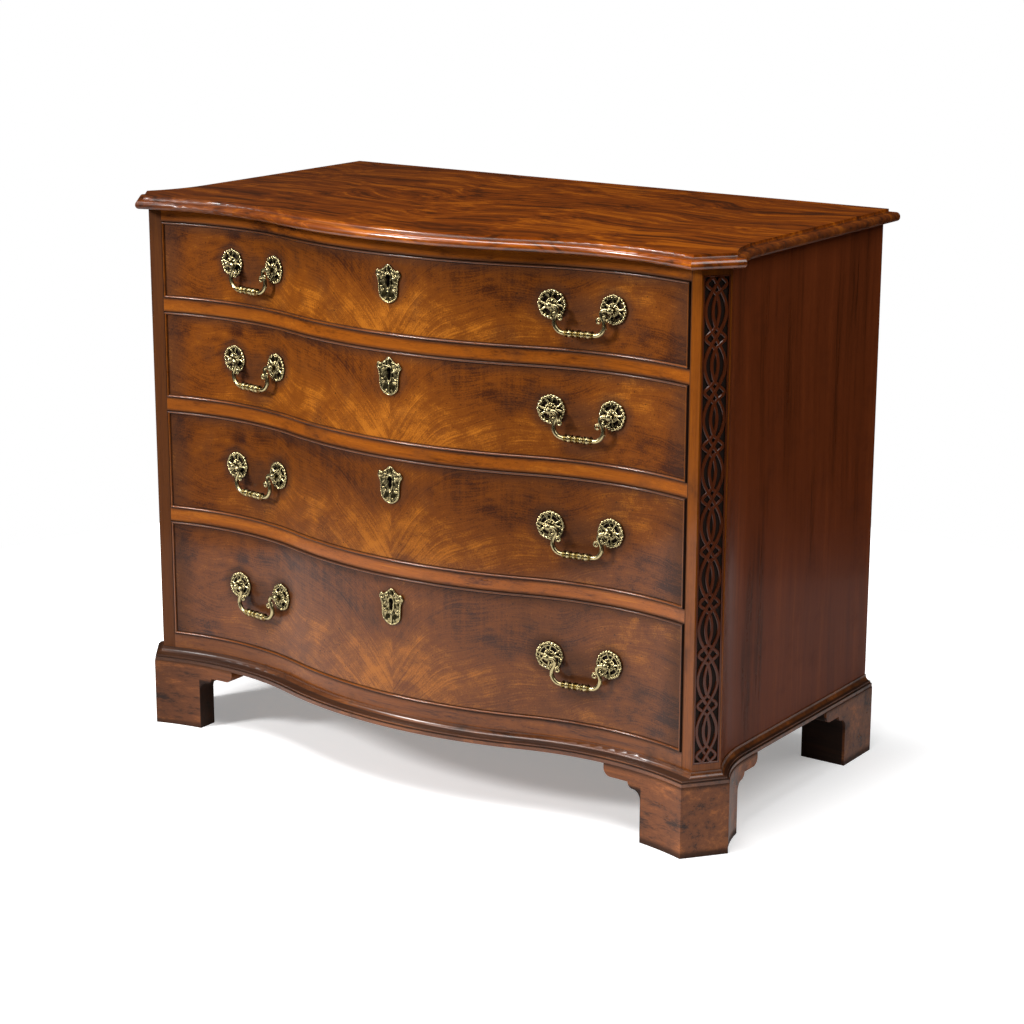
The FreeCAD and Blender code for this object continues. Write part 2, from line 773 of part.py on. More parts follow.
BOARD_RUN = f"({BACK_INNER} - rail_depth)"
BOTTOM_BOARD_TOP = f"({BOTTOM_OF[DRAWER_COUNT]} - bottom_runner)"


def make_inner_boards():
    half = OPENING_HALF
    bottom_z = f"{BOTTOM_BOARD_TOP} - bottom_thick"
    bottom = centred_box("bottom_board", half, "rail_depth", bottom_z, BOARD_RUN, "bottom_thick")
    finish(bottom, "bottom_board")
    dust = []
    dust_half = f"({OPENING_HALF} - runner_width)"
    for number in DRAWERS[1:]:
        z = f"{TOP_OF[number]} + (rail_thick - dust_thick) / 2"
        dust.append(centred_box(f"dust_board_{number}", dust_half, "rail_depth", z, BOARD_RUN, "dust_thick"))
    finish(group("dust_boards", dust), "dust_boards")

    runners = []
    for number in DRAWERS:
        lowest = number == DRAWER_COUNT
        z = BOTTOM_BOARD_TOP if lowest else TOP_OF[number + 1]
        high = "bottom_runner" if lowest else "rail_thick"
        for side, x in (("right", dust_half), ("left", f"-{OPENING_HALF}")):
            name = f"runner_{number}_{side}"
            runners.append(box(name, x, "rail_depth", z, "runner_width", BOARD_RUN, high))
    finish(group("drawer_runners", runners), "drawer_runners")

    stops = []
    for number in DRAWERS:
        for side, x in (("right", HOLLOW_X), ("left", f"-{HOLLOW_X}")):
            low_x = f"{x} - stop_width / 2"
            y = "hollow + front_thick + stop_gap"
            name = f"stop_{number}_{side}"
            stops.append(box(name, low_x, y, BOTTOM_OF[number], "stop_width", "stop_depth", "stop_height"))
    finish(group("drawer_stops", stops), "drawer_stops")

    boards = []
    board_high = f"{CASE_HEIGHT} / back_boards"
    back_half = f"({OPENING_HALF} + back_lip)"
    for row in range(int(size("back_boards"))):
        z = f"foot_height + {row} * {board_high}"
        boards.append(centred_box(f"back_board_{row}", back_half, BACK_INNER, z, "back_thick", board_high))
    finish(group("back_boards", boards), "back_boards")


# Base moulding: a band, a fillet and a cove round the front and sides
def make_base_moulding():
    def band(sketch):
        case_outline(sketch, "base_band_out", "front_more")

    def fillet(sketch):
        case_outline(sketch, "base_fillet_out", "front_more")

    def neck(sketch):
        case_outline(sketch, "base_neck_out")

    def case_plan(sketch):
        case_outline(sketch)

    neck_z = "(base_band_high + base_fillet_high)"
    layers = [
        (band, "0", "base_band_high"),
        (fillet, "base_band_high", "base_fillet_high"),
        (neck, neck_z, f"base_height - {neck_z}"),
    ]
    block = plan_body("base_block", "foot_height", layers)
    round_edges(block, "base_cove_edge", "base_cove", [("base_block_plan_3", neck_z)])
    core = plan_body("base_core", "foot_height", [(case_plan, "0", "base_height")])
    half = f"({CANT_B_X} + foot_wing)"
    behind = centred_box("base_behind", half, "case_depth", "foot_height", "foot_wing", "base_height")
    finish(cut("base_moulding", block, [core, behind]), "base_moulding")


# Bracket feet: a mitred wall under the moulding with scrolled wings
def draw_bracket(sketch, heel, sole, wing, sense):
    """A foot's face: the sole, the throat, an ogee and the wing's rounded nose.

    heel is the far end of the face, and sole and wing are where the sole and the
    wing end; sense is +1 where the wing grows towards lower values.
    """
    leg_x = size(sole)
    tip_x = size(wing)
    heel_x = size(heel)
    height = size("foot_height")
    flat_z = size("foot_height - foot_wing_thick")
    ogee = size("foot_ogee")
    throat = size("foot_throat")
    nose = size("foot_nose")
    throat_z = flat_z - ogee
    throat_x = leg_x - sense * throat
    ogee_x = throat_x - sense * ogee
    nose_x = tip_x + sense * nose
    nose_z = flat_z + nose
    right, up, left, down = 0.0, math.pi / 2, math.pi, 1.5 * math.pi
    leg = sketch_line(sketch, (leg_x, 0), (leg_x, throat_z - throat))
    throat_span = (right, up) if sense > 0 else (up, left)
    curve = sketch_arc(sketch, (throat_x, throat_z - throat), throat, *throat_span)
    ogee_span = (left, down) if sense > 0 else (down, 2 * math.pi)
    swell = sketch_arc(sketch, (throat_x, flat_z), ogee, *ogee_span)
    flat = sketch_line(sketch, (ogee_x, flat_z), (nose_x, flat_z))
    tip = sketch_arc(sketch, (nose_x, nose_z), nose, *ogee_span)
    edge = sketch_line(sketch, (tip_x, nose_z), (tip_x, height))
    top = sketch_line(sketch, (tip_x, height), (heel_x, height))
    back = sketch_line(sketch, (heel_x, height), (heel_x, 0))
    ground = sketch_line(sketch, (heel_x, 0), (leg_x, 0))
    first, last = (1, 2) if sense > 0 else (2, 1)
    join(sketch, leg, 2, curve, first)
    join(sketch, curve, last, swell, last)
    join(sketch, swell, first, flat, 1)
    join(sketch, flat, 2, tip, last)
    join(sketch, tip, first, edge, 1)
    join(sketch, edge, 2, top, 1)
    join(sketch, top, 2, back, 1)
    join(sketch, back, 2, ground, 1)
    join(sketch, ground, 2, leg, 1)
    mark = "" if sense > 0 else "-"
    throat_f = f"({sole} - {mark}foot_throat)"
    flat_f = "(foot_height - foot_wing_thick)"
    nose_f = f"({wing} + {mark}foot_nose)"
    nose_up_f = f"({flat_f} + foot_nose)"
    hold(sketch, leg, 1, sole, "0")
    hold(sketch, leg, 2, sole, f"{flat_f} - foot_ogee - foot_throat")
    hold(sketch, curve, 3, throat_f, f"{flat_f} - foot_ogee - foot_throat")
    hold(sketch, curve, last, throat_f)
    hold(sketch, swell, 3, throat_f, flat_f)
    hold(sketch, swell, first, y=flat_f)
    hold(sketch, flat, 2, nose_f, flat_f)
    hold(sketch, tip, 3, nose_f, nose_up_f)
    hold(sketch, tip, first, y=nose_up_f)
    hold(sketch, edge, 2, wing, "foot_height")
    hold(sketch, top, 2, heel, "foot_height")
    hold(sketch, back, 2, heel, "0")


def face_prism(name, role, draw):
    """A foot face drawn in elevation and carried through the whole chest."""
    body = doc.addObject("PartDesign::Body", name)
    sketch = body_sketch(body, f"{name}_face", role)
    draw(sketch)
    pad = body.newObject("PartDesign::Pad", f"{name}_pad")
    pad.Profile = sketch
    pad.SideType = "Symmetric"
    tie(pad, "Length", f"4 * {CANT_B_X}")
    place(body)
    return body


def make_feet():
    inset = "(foot_wall - foot_proud)"
    far = f"({CANT_B_X} + foot_wing)"

    def outer(sketch):
        case_outline(sketch, "foot_proud", "front_more")

    def inner(sketch):
        case_outline(sketch, f"-{inset}")

    outside = plan_body("foot_outside", "0", [(outer, "0", "foot_height")])
    inside = plan_body("foot_inside", "0", [(inner, "0", "foot_height")])
    behind = centred_box("foot_behind", far, "case_depth", "0", "foot_wing", "foot_height")
    wall = cut("foot_wall_ring", outside, [inside, behind])

    def front_face(sketch):
        draw_bracket(sketch, far, "(corner_half - foot_sole)", "(corner_half - foot_wing)", 1)

    def side_face(sketch):
        draw_bracket(sketch, "-foot_wing", "(cant_y + side_sole)", "(cant_y + side_wing)", -1)

    def rear_side_face(sketch):
        ends = ("(case_depth - rear_sole)", "(case_depth - rear_wing)")
        draw_bracket(sketch, "(case_depth + foot_wing)", *ends, 1)

    def rear_face(sketch):
        polygon(sketch, [
            (f"({SIDE_HALF} - rear_board_sole)", "0"),
            (far, "0"),
            (far, "foot_height"),
            (f"({SIDE_HALF} - rear_board_wing)", "foot_height"),
        ])

    front = face_prism("foot_front_face", "XZ_Plane", front_face)
    side = face_prism("foot_side_face", "YZ_Plane", side_face)
    rear_side = face_prism("foot_rear_side_face", "YZ_Plane", rear_side_face)
    rear = face_prism("foot_rear_face", "XZ_Plane", rear_face)
    front_foot = doc.addObject("Part::MultiCommon", "foot_front_right")
    front_foot.Shapes = [wall, front, side]
    rear_boards = doc.addObject("Part::MultiCommon", "foot_rear_boards")
    rear_boards.Shapes = [wall, rear_side, rear]
    block_x = f"({SIDE_HALF} - rear_block)"
    block_size = ("rear_block", "rear_sole", "foot_height")
    block = box("foot_rear_block", block_x, "(case_depth - rear_sole)", "0", *block_size)
    rear_foot = doc.addObject("Part::MultiFuse", "foot_rear_right")
    rear_foot.Shapes = [rear_boards, block]
    for name, foot in (("front", front_foot), ("rear", rear_foot)):
        pair = [foot, mirrored(f"foot_{name}_left", foot)]
        finish(group(f"{name}_feet", pair), f"{name}_feet")


# Drawer fronts, their cock beads and the boxes behind them
# A cutting tool of this length passes right through a drawer front
THROUGH = "(4 * front_thick)"
BOX_INNER = f"({DRAWER_HALF} - box_thick)"
LAP_Y = f"({HOLLOW_Y} + sqrt({HOLLOW_R}^2 - ({DRAWER_HALF} - {HOLLOW_X})^2) + lap_cover)"


def drawer_low(number):
    """The height of a drawer front's lower edge."""
    return f"({BOTTOM_OF[number]} + front_gap)"


def drawer_high(number):
    """The height of a drawer front's upper edge."""
    return f"({TOP_OF[number]} - front_gap)"


def box_low(number):
    """The height of a drawer side's lower edge, just clear of the runner."""
    return f"({BOTTOM_OF[number]} + run_gap)"


def key_height(number):
    """The height of a keyhole plate's middle."""
    return f"({TOP_OF[number]} - key_drop_{number})"


def keyhole(name, number):
    """The tools for one keyhole: a round hole and the slot under it."""
    hole = doc.addObject("Part::Cylinder", f"{name}_round")
    tie(hole, "Radius", "keyhole_radius")
    tie(hole, "Height", THROUGH)
    hole.Placement.Rotation = Rotation(Vector(1, 0, 0), -90)
    ahead = f"-bow - {THROUGH} / 2"
    round_z = f"({key_height(number)} + key_up)"
    place(hole, y=ahead, z=round_z)
    slot_z = f"{round_z} - keyhole_slot"
    slot = centred_box(f"{name}_slot", "(keyhole_radius / 2)", ahead, slot_z, THROUGH, "keyhole_slot")
    return [hole, slot]


HOLLOW_ANGLE = f"asin(-handle_in / {HOLLOW_R})"
POST_ANGLE = f"asin(handle_span / 2 / ({HOLLOW_R} - pivot_reach))"


def handle_height(number):
    """The height of a drawer's handle pivots."""
    return f"({BOTTOM_OF[number]} + opening_{number} / 2 + handle_rise)"


def on_hollow(target, sign, lean, reach, height):
    """Put a piece on the hollow, its own -Y looking out of the front.

    sign is +1 on the right half; lean picks the outer or the inner post, and 0 is the
    middle of the handle; reach is how far the piece stands in front of the face.
    """
    turn = f"({HOLLOW_ANGLE} + {lean} * {POST_ANGLE})"
    radius = f"({HOLLOW_R} - {reach})"
    tie(target, ".Placement.Base.x", f"{sign} * ({HOLLOW_X} + {radius} * sin({turn}))")
    tie(target, ".Placement.Base.y", f"{FRONT_Y} + {HOLLOW_Y} + {radius} * cos({turn})")
    tie(target, ".Placement.Base.z", height)
    target.Placement.Rotation = Rotation(Vector(0, 0, -sign), size(turn))
    tie(target, ".Placement.Rotation.Angle", turn)


def copy_on_hollow(name, source, sign, lean, height, reach="0"):
    """A linked copy of a master piece, put on the hollow."""
    copy = doc.addObject("App::Link", name)
    copy.LinkedObject = source
    on_hollow(copy, sign, lean, reach, height)
    return copy


POSTS = ((1, 1), (1, -1), (-1, 1), (-1, -1))


def make_drawer_front(number, post_bore):
    name = f"drawer_{number}_front"
    low = drawer_low(number)
    height = f"({drawer_high(number)} - {low})"
    face_half = f"({DRAWER_HALF} - bead_thick)"
    body = doc.addObject("PartDesign::Body", f"{name}_body")
    layers = (
        ("core", "-bead_depth", DRAWER_HALF, "-front_thick", "0", height),
        ("face", "0", face_half, "-bead_depth", "bead_thick", f"{height} - 2 * bead_thick"),
    )
    for layer, ahead, half, behind, rise, thickness in layers:
        sketch = body_sketch(body, f"{name}_{layer}_plan")
        tie(sketch, ".AttachmentOffset.Base.z", rise)
        front_strip(sketch, ahead, half, behind)
        pad = body.newObject("PartDesign::Pad", f"{name}_{layer}")
        pad.Profile = sketch
        tie(pad, "Length", thickness)
    place(body, z=low)

    tools = keyhole(f"{name}_key", number)
    lap_high = f"opening_{number} - box_headroom"
    for side, x in (("right", BOX_INNER), ("left", f"-{DRAWER_HALF} - box_thick")):
        lap = box(f"{name}_lap_{side}", x, LAP_Y, box_low(number), "2 * box_thick", THROUGH, lap_high)
        tools.append(lap)
    pocket_half = "(lock_width / 2 + board_fit)"
    pocket_z = f"{drawer_high(number)} - lock_height - board_fit"
    pocket_high = "lock_height + 2 * board_fit"
    tools.append(centred_box(f"{name}_pocket", pocket_half, LOCK_Y, pocket_z, THROUGH, pocket_high))
    for index, (sign, lean) in enumerate(POSTS):
        hole_name = f"{name}_post_hole_{index}"
        tools.append(copy_on_hollow(hole_name, post_bore, sign, lean, handle_height(number)))
    finish(cut(name, body, tools), name)


def make_cock_bead(number):
    name = f"drawer_{number}_cock_bead"
    low = drawer_low(number)
    high = drawer_high(number)
    strip = ("bead_proud", DRAWER_HALF, "-bead_depth")
    bottom = strip_body(f"{name}_bottom", low, "bead_thick", *strip)
    top = strip_body(f"{name}_top", f"{high} - bead_thick", "bead_thick", *strip)
    side_z = f"({low} + bead_thick)"
    side_high = f"({high} - {low} - 2 * bead_thick)"
    whole = strip_body(f"{name}_band", side_z, side_high, *strip)
    middle_half = f"({DRAWER_HALF} - bead_thick)"
    reach = "(bow + hollow + front_thick)"
    middle = centred_box(f"{name}_middle", middle_half, f"-{reach}", side_z, f"2 * {reach}", side_high)
    sides = cut(f"{name}_sides", whole, [middle])
    finish(group(name, [bottom, top, sides]), name)


def make_drawer_box(number):
    low = box_low(number)
    height = f"(opening_{number} - box_headroom)"
    run = f"({BOX_BACK} - {LAP_Y})"
    groove_z = f"({low} + box_bottom_rise)"
    sides = []
    for side, x, groove_x in (
        ("right", BOX_INNER, f"{BOX_INNER} - groove_depth"),
        ("left", f"-{DRAWER_HALF}", f"-{BOX_INNER} - groove_depth"),
    ):
        name = f"drawer_{number}_side_{side}"
        board = box(f"{name}_board", x, LAP_Y, low, "box_thick", run, height)
        groove = box(f"{name}_groove", groove_x, LAP_Y, groove_z, "2 * groove_depth", run, "box_bottom_thick")
        sides.append(cut(name, board, [groove]))
    finish(group(f"drawer_{number}_sides", sides), f"drawer_{number}_sides")

    back_z = f"{groove_z} + box_bottom_thick"
    back_high = f"{height} - box_bottom_rise - box_bottom_thick"
    back_y = f"{BOX_BACK} - box_thick"
    name = f"drawer_{number}_back"
    finish(centred_box(name, BOX_INNER, back_y, back_z, "box_thick", back_high), name)

    name = f"drawer_{number}_bottom"
    half = f"({BOX_INNER} + groove_depth - board_fit)"
    behind = "-(front_thick + board_fit)"
    board = strip_body(f"{name}_board", groove_z, "box_bottom_thick", behind, half, back_edge=BOX_BACK)
    finish(group(name, [board]), name)


# Locks: a case let into the drawer front, with a bolt that rises into the rail above
def make_lock(number):
    name = f"drawer_{number}_lock_case"
    low = f"({drawer_high(number)} - lock_height)"
    block = centred_box(f"{name}_block", "(lock_width / 2)", LOCK_Y, low, "lock_depth", "lock_height")
    bolt_y = f"({LOCK_Y} + bolt_set_back)"
    bolt_z = f"({drawer_high(number)} - bolt_height - lock_fit)"
    slot_half = "(bolt_width / 2 + lock_fit)"
    slot_y = f"{bolt_y} - lock_fit"
    slot_z = f"{bolt_z} - lock_fit"
    across = "bolt_thick + 2 * lock_fit"
    slot = centred_box(f"{name}_slot", slot_half, slot_y, slot_z, across, "2 * bolt_height")
    finish(cut(name, block, [slot, *keyhole(f"{name}_key", number)]), name)
    name = f"drawer_{number}_lock_bolt"
    finish(centred_box(name, "(bolt_width / 2)", bolt_y, bolt_z, "bolt_thick", "bolt_height"), name)


# Right half of a keyhole plate from its crest to its tip: shares of the half width and of
# the height, and how far the arc to the next knot bulges, as a share of its chord
PLATE_KNOTS = (
    (0.00, 0.500, 0.25),
    (0.22, 0.430, -0.20),
    (0.62, 0.345, 0.16),
    (0.98, 0.250, 0.35),
    (0.76, 0.135, -0.12),
    (0.72, -0.150, 0.06),
    (0.50, -0.345, 0.12),
    (0.17, -0.455, 0.22),
    (0.00, -0.500, 0.00),
)
PIERCED_ACROSS = 0.36
PIERCED_DOWN = 0.24
PIERCED_RADIUS = 0.06


def plate_point(x, z):
    """A point of a keyhole plate's back, whose plane is its own X and Z."""
    return Vector(x, 0, z)


def plate_wires(width, height):
    """The edge of a keyhole plate and its two pierced holes."""
    half = width / 2
    knots = [(x * half, z * height, bulge) for x, z, bulge in PLATE_KNOTS]
    edges = []
    for sign in (1, -1):
        for start, end in zip(knots, knots[1:]):
            run = (end[0] - start[0], end[1] - start[1])
            middle_x = (start[0] + end[0]) / 2 - run[1] * start[2]
            middle_z = (start[1] + end[1]) / 2 + run[0] * start[2]
            points = [(start[0], start[1]), (middle_x, middle_z), (end[0], end[1])]
            edges.append(Part.Arc(*[plate_point(sign * x, z) for x, z in points]).toShape())
    wires = [Part.Wire(Part.__sortEdges__(edges))]
    for sign in (1, -1):
        centre = plate_point(sign * PIERCED_ACROSS * half, -PIERCED_DOWN * height)
        wires.append(Part.Wire(Part.makeCircle(PIERCED_RADIUS * height, centre, Vector(0, 1, 0))))
    return wires


def make_escutcheon(number):
    name = f"drawer_{number}_escutcheon"
    wires = plate_wires(size("escutcheon_width"), size("escutcheon_height"))
    plate = doc.addObject("Part::Feature", f"{name}_plate")
    plate.Shape = Part.Face(wires, "Part::FaceMakerBullseye").extrude(Vector(0, size("escutcheon_thick"), 0))
    place(plate, y="-bow - seat_gap - escutcheon_thick", z=key_height(number))
    finish(cut(name, plate, keyhole(f"{name}_key", number)), name)


# Handles: rosettes and eye posts bolted through the fronts, and swinging swan-neck bails
def turned_body(name, corners):
    """A body turned about its own Y axis from corners given as (radius, y) formulas."""
    body = doc.addObject("PartDesign::Body", name)
    sketch = body_sketch(body, f"{name}_profile")
    polygon(sketch, corners)
    turned = body.newObject("PartDesign::Revolution", f"{name}_turned")
    turned.Profile = sketch
    turned.ReferenceAxis = (sketch, ["V_Axis"])
    turned.Angle = 360
    return body


def make_post_bore():
    """The hole through a drawer front for one post."""
    radius = "(shank_radius + shank_fit)"
    near = f"(-{THROUGH} / 2)"
    far = f"({THROUGH} / 2)"
    return turned_body("post_bore", [("0", near), (radius, near), (radius, far), ("0", far)])


# A flat rosette touches the hollow at its rim, so its middle stands off by the sag
ROSETTE_BACK = f"(rosette_radius^2 / (2 * {HOLLOW_R}) + seat_gap)"
ROSETTE_CROWN = f"({ROSETTE_BACK} + rosette_thick)"


# Radii of a rosette's crest and dish as shares of its own, and of its boss's foot
CREST_SHARE = 0.85
DISH_SHARE = 0.6
BOSS_FOOT_SHARE = 1.3
BOSS_TIP_SHARE = 0.6


def make_rosette():
    """A round plate with a raised rim and a domed middle, bored for the post."""
    bore = "(shank_radius + shank_fit)"
    back = f"-{ROSETTE_BACK}"
    edge = f"(-{ROSETTE_BACK} - rosette_thick / 2)"
    crown = f"-{ROSETTE_CROWN}"
    return turned_body("rosette", [
        (bore, back),
        ("rosette_radius", back),
        ("rosette_radius", edge),
        (f"(rosette_radius * {CREST_SHARE})", crown),
        (f"(rosette_radius * {DISH_SHARE})", edge),
        (f"(boss_radius * {BOSS_FOOT_SHARE})", edge),
        ("boss_radius", crown),
        (bore, crown),
    ])


def make_post(name, lean):
    """A shank through the front with a boss whose eye takes the bail's pin."""
    neck = f"-{ROSETTE_CROWN}"
    tip = "(-pivot_reach - boss_radius)"
    shoulder = f"(-pivot_reach - boss_radius * {BOSS_TIP_SHARE})"
    tail = "(front_thick + 2 * nut_thick)"
    stem = turned_body(f"{name}_stem", [
        ("0", tip),
        (f"(boss_radius * {BOSS_TIP_SHARE})", tip),
        ("boss_radius", shoulder),
        ("boss_radius", neck),
        ("shank_radius", neck),
        ("shank_radius", tail),
        ("0", tail),
    ])
    eye = doc.addObject("Part::Cylinder", f"{name}_eye")
    tie(eye, "Radius", "rod_radius + pin_play")
    tie(eye, "Height", "4 * boss_radius")
    turn = lean * size(POST_ANGLE)
    along = Vector(math.cos(math.radians(turn)), math.sin(math.radians(turn)), 0)
    eye.Placement.Rotation = Rotation(Vector(0, 0, 1), along)
    reach = size("pivot_reach")
    half = 2 * size("boss_radius")
    eye.Placement.Base = Vector(-along.x * half, -reach - along.y * half, 0)
    return cut(name, stem, [eye])


def make_nut():
    """The nut on the inside of the drawer front."""
    bore = "(shank_radius + pin_play)"
    near = "(front_thick + seat_gap)"
    far = "(front_thick + seat_gap + nut_thick)"
    return turned_body("post_nut", [(bore, near), ("nut_radius", near), ("nut_radius", far), (bore, far)])


def make_handle_mounts(number, rosette, posts, nut):
    name = f"drawer_{number}_handle_mounts"
    members = []
    for index, (sign, lean) in enumerate(POSTS):
        for piece, source in (("rosette", rosette), ("post", posts[sign * lean]), ("nut", nut)):
            copy_name = f"drawer_{number}_{piece}_{index}"
            members.append(copy_on_hollow(copy_name, source, sign, lean, handle_height(number)))
    finish(group(name, members), name)


PIN_X = "(handle_span / 2 + pin_start)"
NECK_X = "(handle_span / 2 - neck_start)"
SWAN_X = f"({NECK_X} - neck_radius + swan_radius)"
SWAN_END_X = f"({SWAN_X} - swan_radius * cos(swan_turn))"
SWAN_END_Z = "(-neck_radius - swan_radius * sin(swan_turn))"
LOOP_R = f"((bail_drop + {SWAN_END_Z}) / (1 + sin(swan_turn)))"
LOOP_X = f"({SWAN_END_X} - {LOOP_R} * cos(swan_turn))"
LOOP_Z = f"({LOOP_R} - bail_drop)"


def draw_bail(sketch):
    """The bail's centre line: a pin, a swan neck and a loop on each side of the bar."""
    turn = math.radians(size("swan_turn"))
    half_turn = math.pi
    neck = (size(NECK_X), -size("neck_radius"))
    swan = (size(SWAN_X), -size("neck_radius"))
    loop = (size(LOOP_X), size(LOOP_Z))
    ends = {}
    for sign, mark in ((1, ""), (-1, "-")):
        pin = sketch_line(sketch, (sign * size(PIN_X), 0), (sign * size(NECK_X), 0))
        spans = [
            (neck, size("neck_radius"), half_turn / 2, half_turn),
            (swan, size("swan_radius"), half_turn, half_turn + turn),
            (loop, size(LOOP_R), -half_turn / 2, turn),
        ]
        curves = []
        for (x, z), radius, start, end in spans:
            if sign < 0:
                start, end = half_turn - end, half_turn - start
            curves.append(sketch_arc(sketch, (sign * x, z), radius, start, end))
        first, last = (1, 2) if sign > 0 else (2, 1)
        neck_arc, swan_arc, loop_arc = curves
        hold(sketch, pin, 1, f"{mark}{PIN_X}", "0")
        hold(sketch, pin, 2, f"{mark}{NECK_X}", "0")
        join(sketch, pin, 2, neck_arc, first)
        join(sketch, neck_arc, last, swan_arc, first)
        join(sketch, swan_arc, last, loop_arc, last)
        hold(sketch, neck_arc, 3, f"{mark}{NECK_X}", "-neck_radius")
        hold(sketch, neck_arc, last, y="-neck_radius")
        hold(sketch, swan_arc, 3, f"{mark}{SWAN_X}", "-neck_radius")
        hold(sketch, swan_arc, last, y=SWAN_END_Z)
        hold(sketch, loop_arc, 3, f"{mark}{LOOP_X}", LOOP_Z)
        hold(sketch, loop_arc, first, f"{mark}{LOOP_X}")
        ends[sign] = (loop_arc, first)
    drop = -size("bail_drop")
    bar = sketch_line(sketch, (loop[0], drop), (-loop[0], drop))
    join(sketch, bar, 1, *ends[1])
    join(sketch, bar, 2, *ends[-1])


# Half lengths and radii along the baluster: collar, vase and ring
GRIP_SHAPE = (
    ("collar_far", "collar_radius"),
    ("collar_near", "collar_radius"),
    ("vase_far", "rod_radius"),
    ("vase_middle", "vase_radius"),
    ("vase_near", "rod_radius"),
    ("ring_half", "collar_radius"),
)
GRIP_CORNERS = [("-collar_far", "0"), ("collar_far", "0")]
GRIP_CORNERS += [(along, radius) for along, radius in GRIP_SHAPE]
GRIP_CORNERS += [(f"-{along}", radius) for along, radius in reversed(GRIP_SHAPE)]


def make_bail():
    """One bail about its own pivot axis, X, hanging down."""
    body = doc.addObject("PartDesign::Body", "bail")
    path = body_sketch(body, "bail_path", "XZ_Plane")
    draw_bail(path)
    section = body_sketch(body, "bail_section", "YZ_Plane")
    tie(section, ".AttachmentOffset.Base.z", PIN_X)
    circle = section.addGeometry(Part.Circle(Vector(0, 0, 0), Vector(0, 0, 1), size("rod_radius")))
    hold(section, circle, 3, "0", "0")
    index = section.addConstraint(Sketcher.Constraint("Radius", circle, size("rod_radius")))
    set_datum(section, index, "rod_radius")
    rod = body.newObject("PartDesign::AdditivePipe", "bail_rod")
    rod.Profile = section
    rod.Spine = path
    grip = body_sketch(body, "bail_grip", "XZ_Plane")
    tie(grip, ".AttachmentOffset.Base.y", "-bail_drop")
    polygon(grip, GRIP_CORNERS)
    turned = body.newObject("PartDesign::Revolution", "bail_baluster")
    turned.Profile = grip
    turned.ReferenceAxis = (grip, ["H_Axis"])
    turned.Angle = 360
    return body


def make_bails(number, bail):
    for side, sign in (("left", -1), ("right", 1)):
        name = f"drawer_{number}_bail_{side}"
        reach = f"({HOLLOW_R} - ({HOLLOW_R} - pivot_reach) * cos({POST_ANGLE}))"
        copy = copy_on_hollow(f"{name}_copy", bail, sign, 0, handle_height(number), reach)
        finish(group(name, [copy]), name)


make_top_board()
make_sides()
make_corner_posts()
make_corner_frets()
make_rails()
make_inner_boards()
make_base_moulding()
make_feet()
bore = make_post_bore()
rosette = make_rosette()
posts = {lean: make_post(f"post_{word}", lean) for lean, word in ((1, "outer"), (-1, "inner"))}
nut = make_nut()
bail = make_bail()
for number in DRAWERS:
    make_drawer_front(number, bore)
    make_cock_bead(number)
    make_drawer_box(number)
    make_lock(number)
    make_escutcheon(number)
    make_handle_mounts(number, rosette, posts, nut)
    make_bails(number, bail)
doc.recompute()

for thing in doc.Objects:
    if "Invalid" in thing.State or "Error" in thing.State:
        raise RuntimeError(f"{thing.Label} did not build")
os.makedirs("parts", exist_ok=True)
for piece in subparts:
    if piece.Shape.isNull() or not piece.Shape.isValid():
        raise RuntimeError(f"{piece.Label} has no valid shape")
    piece.Shape.exportStep(f"parts/{piece.Label}.step")
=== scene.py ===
import json
import math

import bmesh
import bpy
import mathutils
import numpy as np
from bpy.props import FloatProperty, FloatVectorProperty, IntProperty, PointerProperty
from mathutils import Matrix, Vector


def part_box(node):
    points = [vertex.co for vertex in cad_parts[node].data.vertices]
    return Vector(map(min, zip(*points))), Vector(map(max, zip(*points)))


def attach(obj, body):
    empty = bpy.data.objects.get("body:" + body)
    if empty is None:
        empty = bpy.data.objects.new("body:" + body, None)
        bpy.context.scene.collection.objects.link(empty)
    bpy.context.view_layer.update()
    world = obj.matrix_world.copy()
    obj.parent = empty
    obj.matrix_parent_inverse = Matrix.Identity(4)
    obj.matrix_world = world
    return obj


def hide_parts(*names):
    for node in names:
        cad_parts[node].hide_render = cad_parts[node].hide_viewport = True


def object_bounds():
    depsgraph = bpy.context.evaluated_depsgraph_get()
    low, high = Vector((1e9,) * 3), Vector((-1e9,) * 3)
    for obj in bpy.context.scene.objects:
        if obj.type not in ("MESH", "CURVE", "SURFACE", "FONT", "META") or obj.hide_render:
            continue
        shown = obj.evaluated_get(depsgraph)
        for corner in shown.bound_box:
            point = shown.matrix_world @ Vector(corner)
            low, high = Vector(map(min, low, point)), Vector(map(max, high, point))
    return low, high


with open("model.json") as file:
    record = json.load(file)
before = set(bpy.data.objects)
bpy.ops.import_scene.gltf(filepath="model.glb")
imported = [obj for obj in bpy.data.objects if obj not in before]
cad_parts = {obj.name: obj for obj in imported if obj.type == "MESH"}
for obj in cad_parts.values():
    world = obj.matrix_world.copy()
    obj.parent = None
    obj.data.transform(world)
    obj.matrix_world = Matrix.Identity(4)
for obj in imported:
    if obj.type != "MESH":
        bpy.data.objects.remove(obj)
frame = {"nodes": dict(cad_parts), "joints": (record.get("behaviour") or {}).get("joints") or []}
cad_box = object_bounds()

# Serpentine dressing chest: figured mahogany, a carved blind fret on the canted
# corners and pierced brasses. Lengths are metres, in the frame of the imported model:
# +Z is up and the front looks along -Y.

bl_info = {
    "name": "Serpentine dressing chest",
    "version": (1, 0, 0),
    "blender": (4, 5, 0),
    "location": "3D View > Sidebar > Chest",
    "description": "Dresses the packed chest in figured mahogany and old brass",
    "category": "Object",
}

MM = 0.001
DRAWERS = (1, 2, 3, 4)
# Share of its colour that each front's veneer keeps: painted shade, deeper on the lower fronts
FRONT_SHADE_SHARE = {1: 0.92, 2: 0.93, 3: 0.75, 4: 0.69}
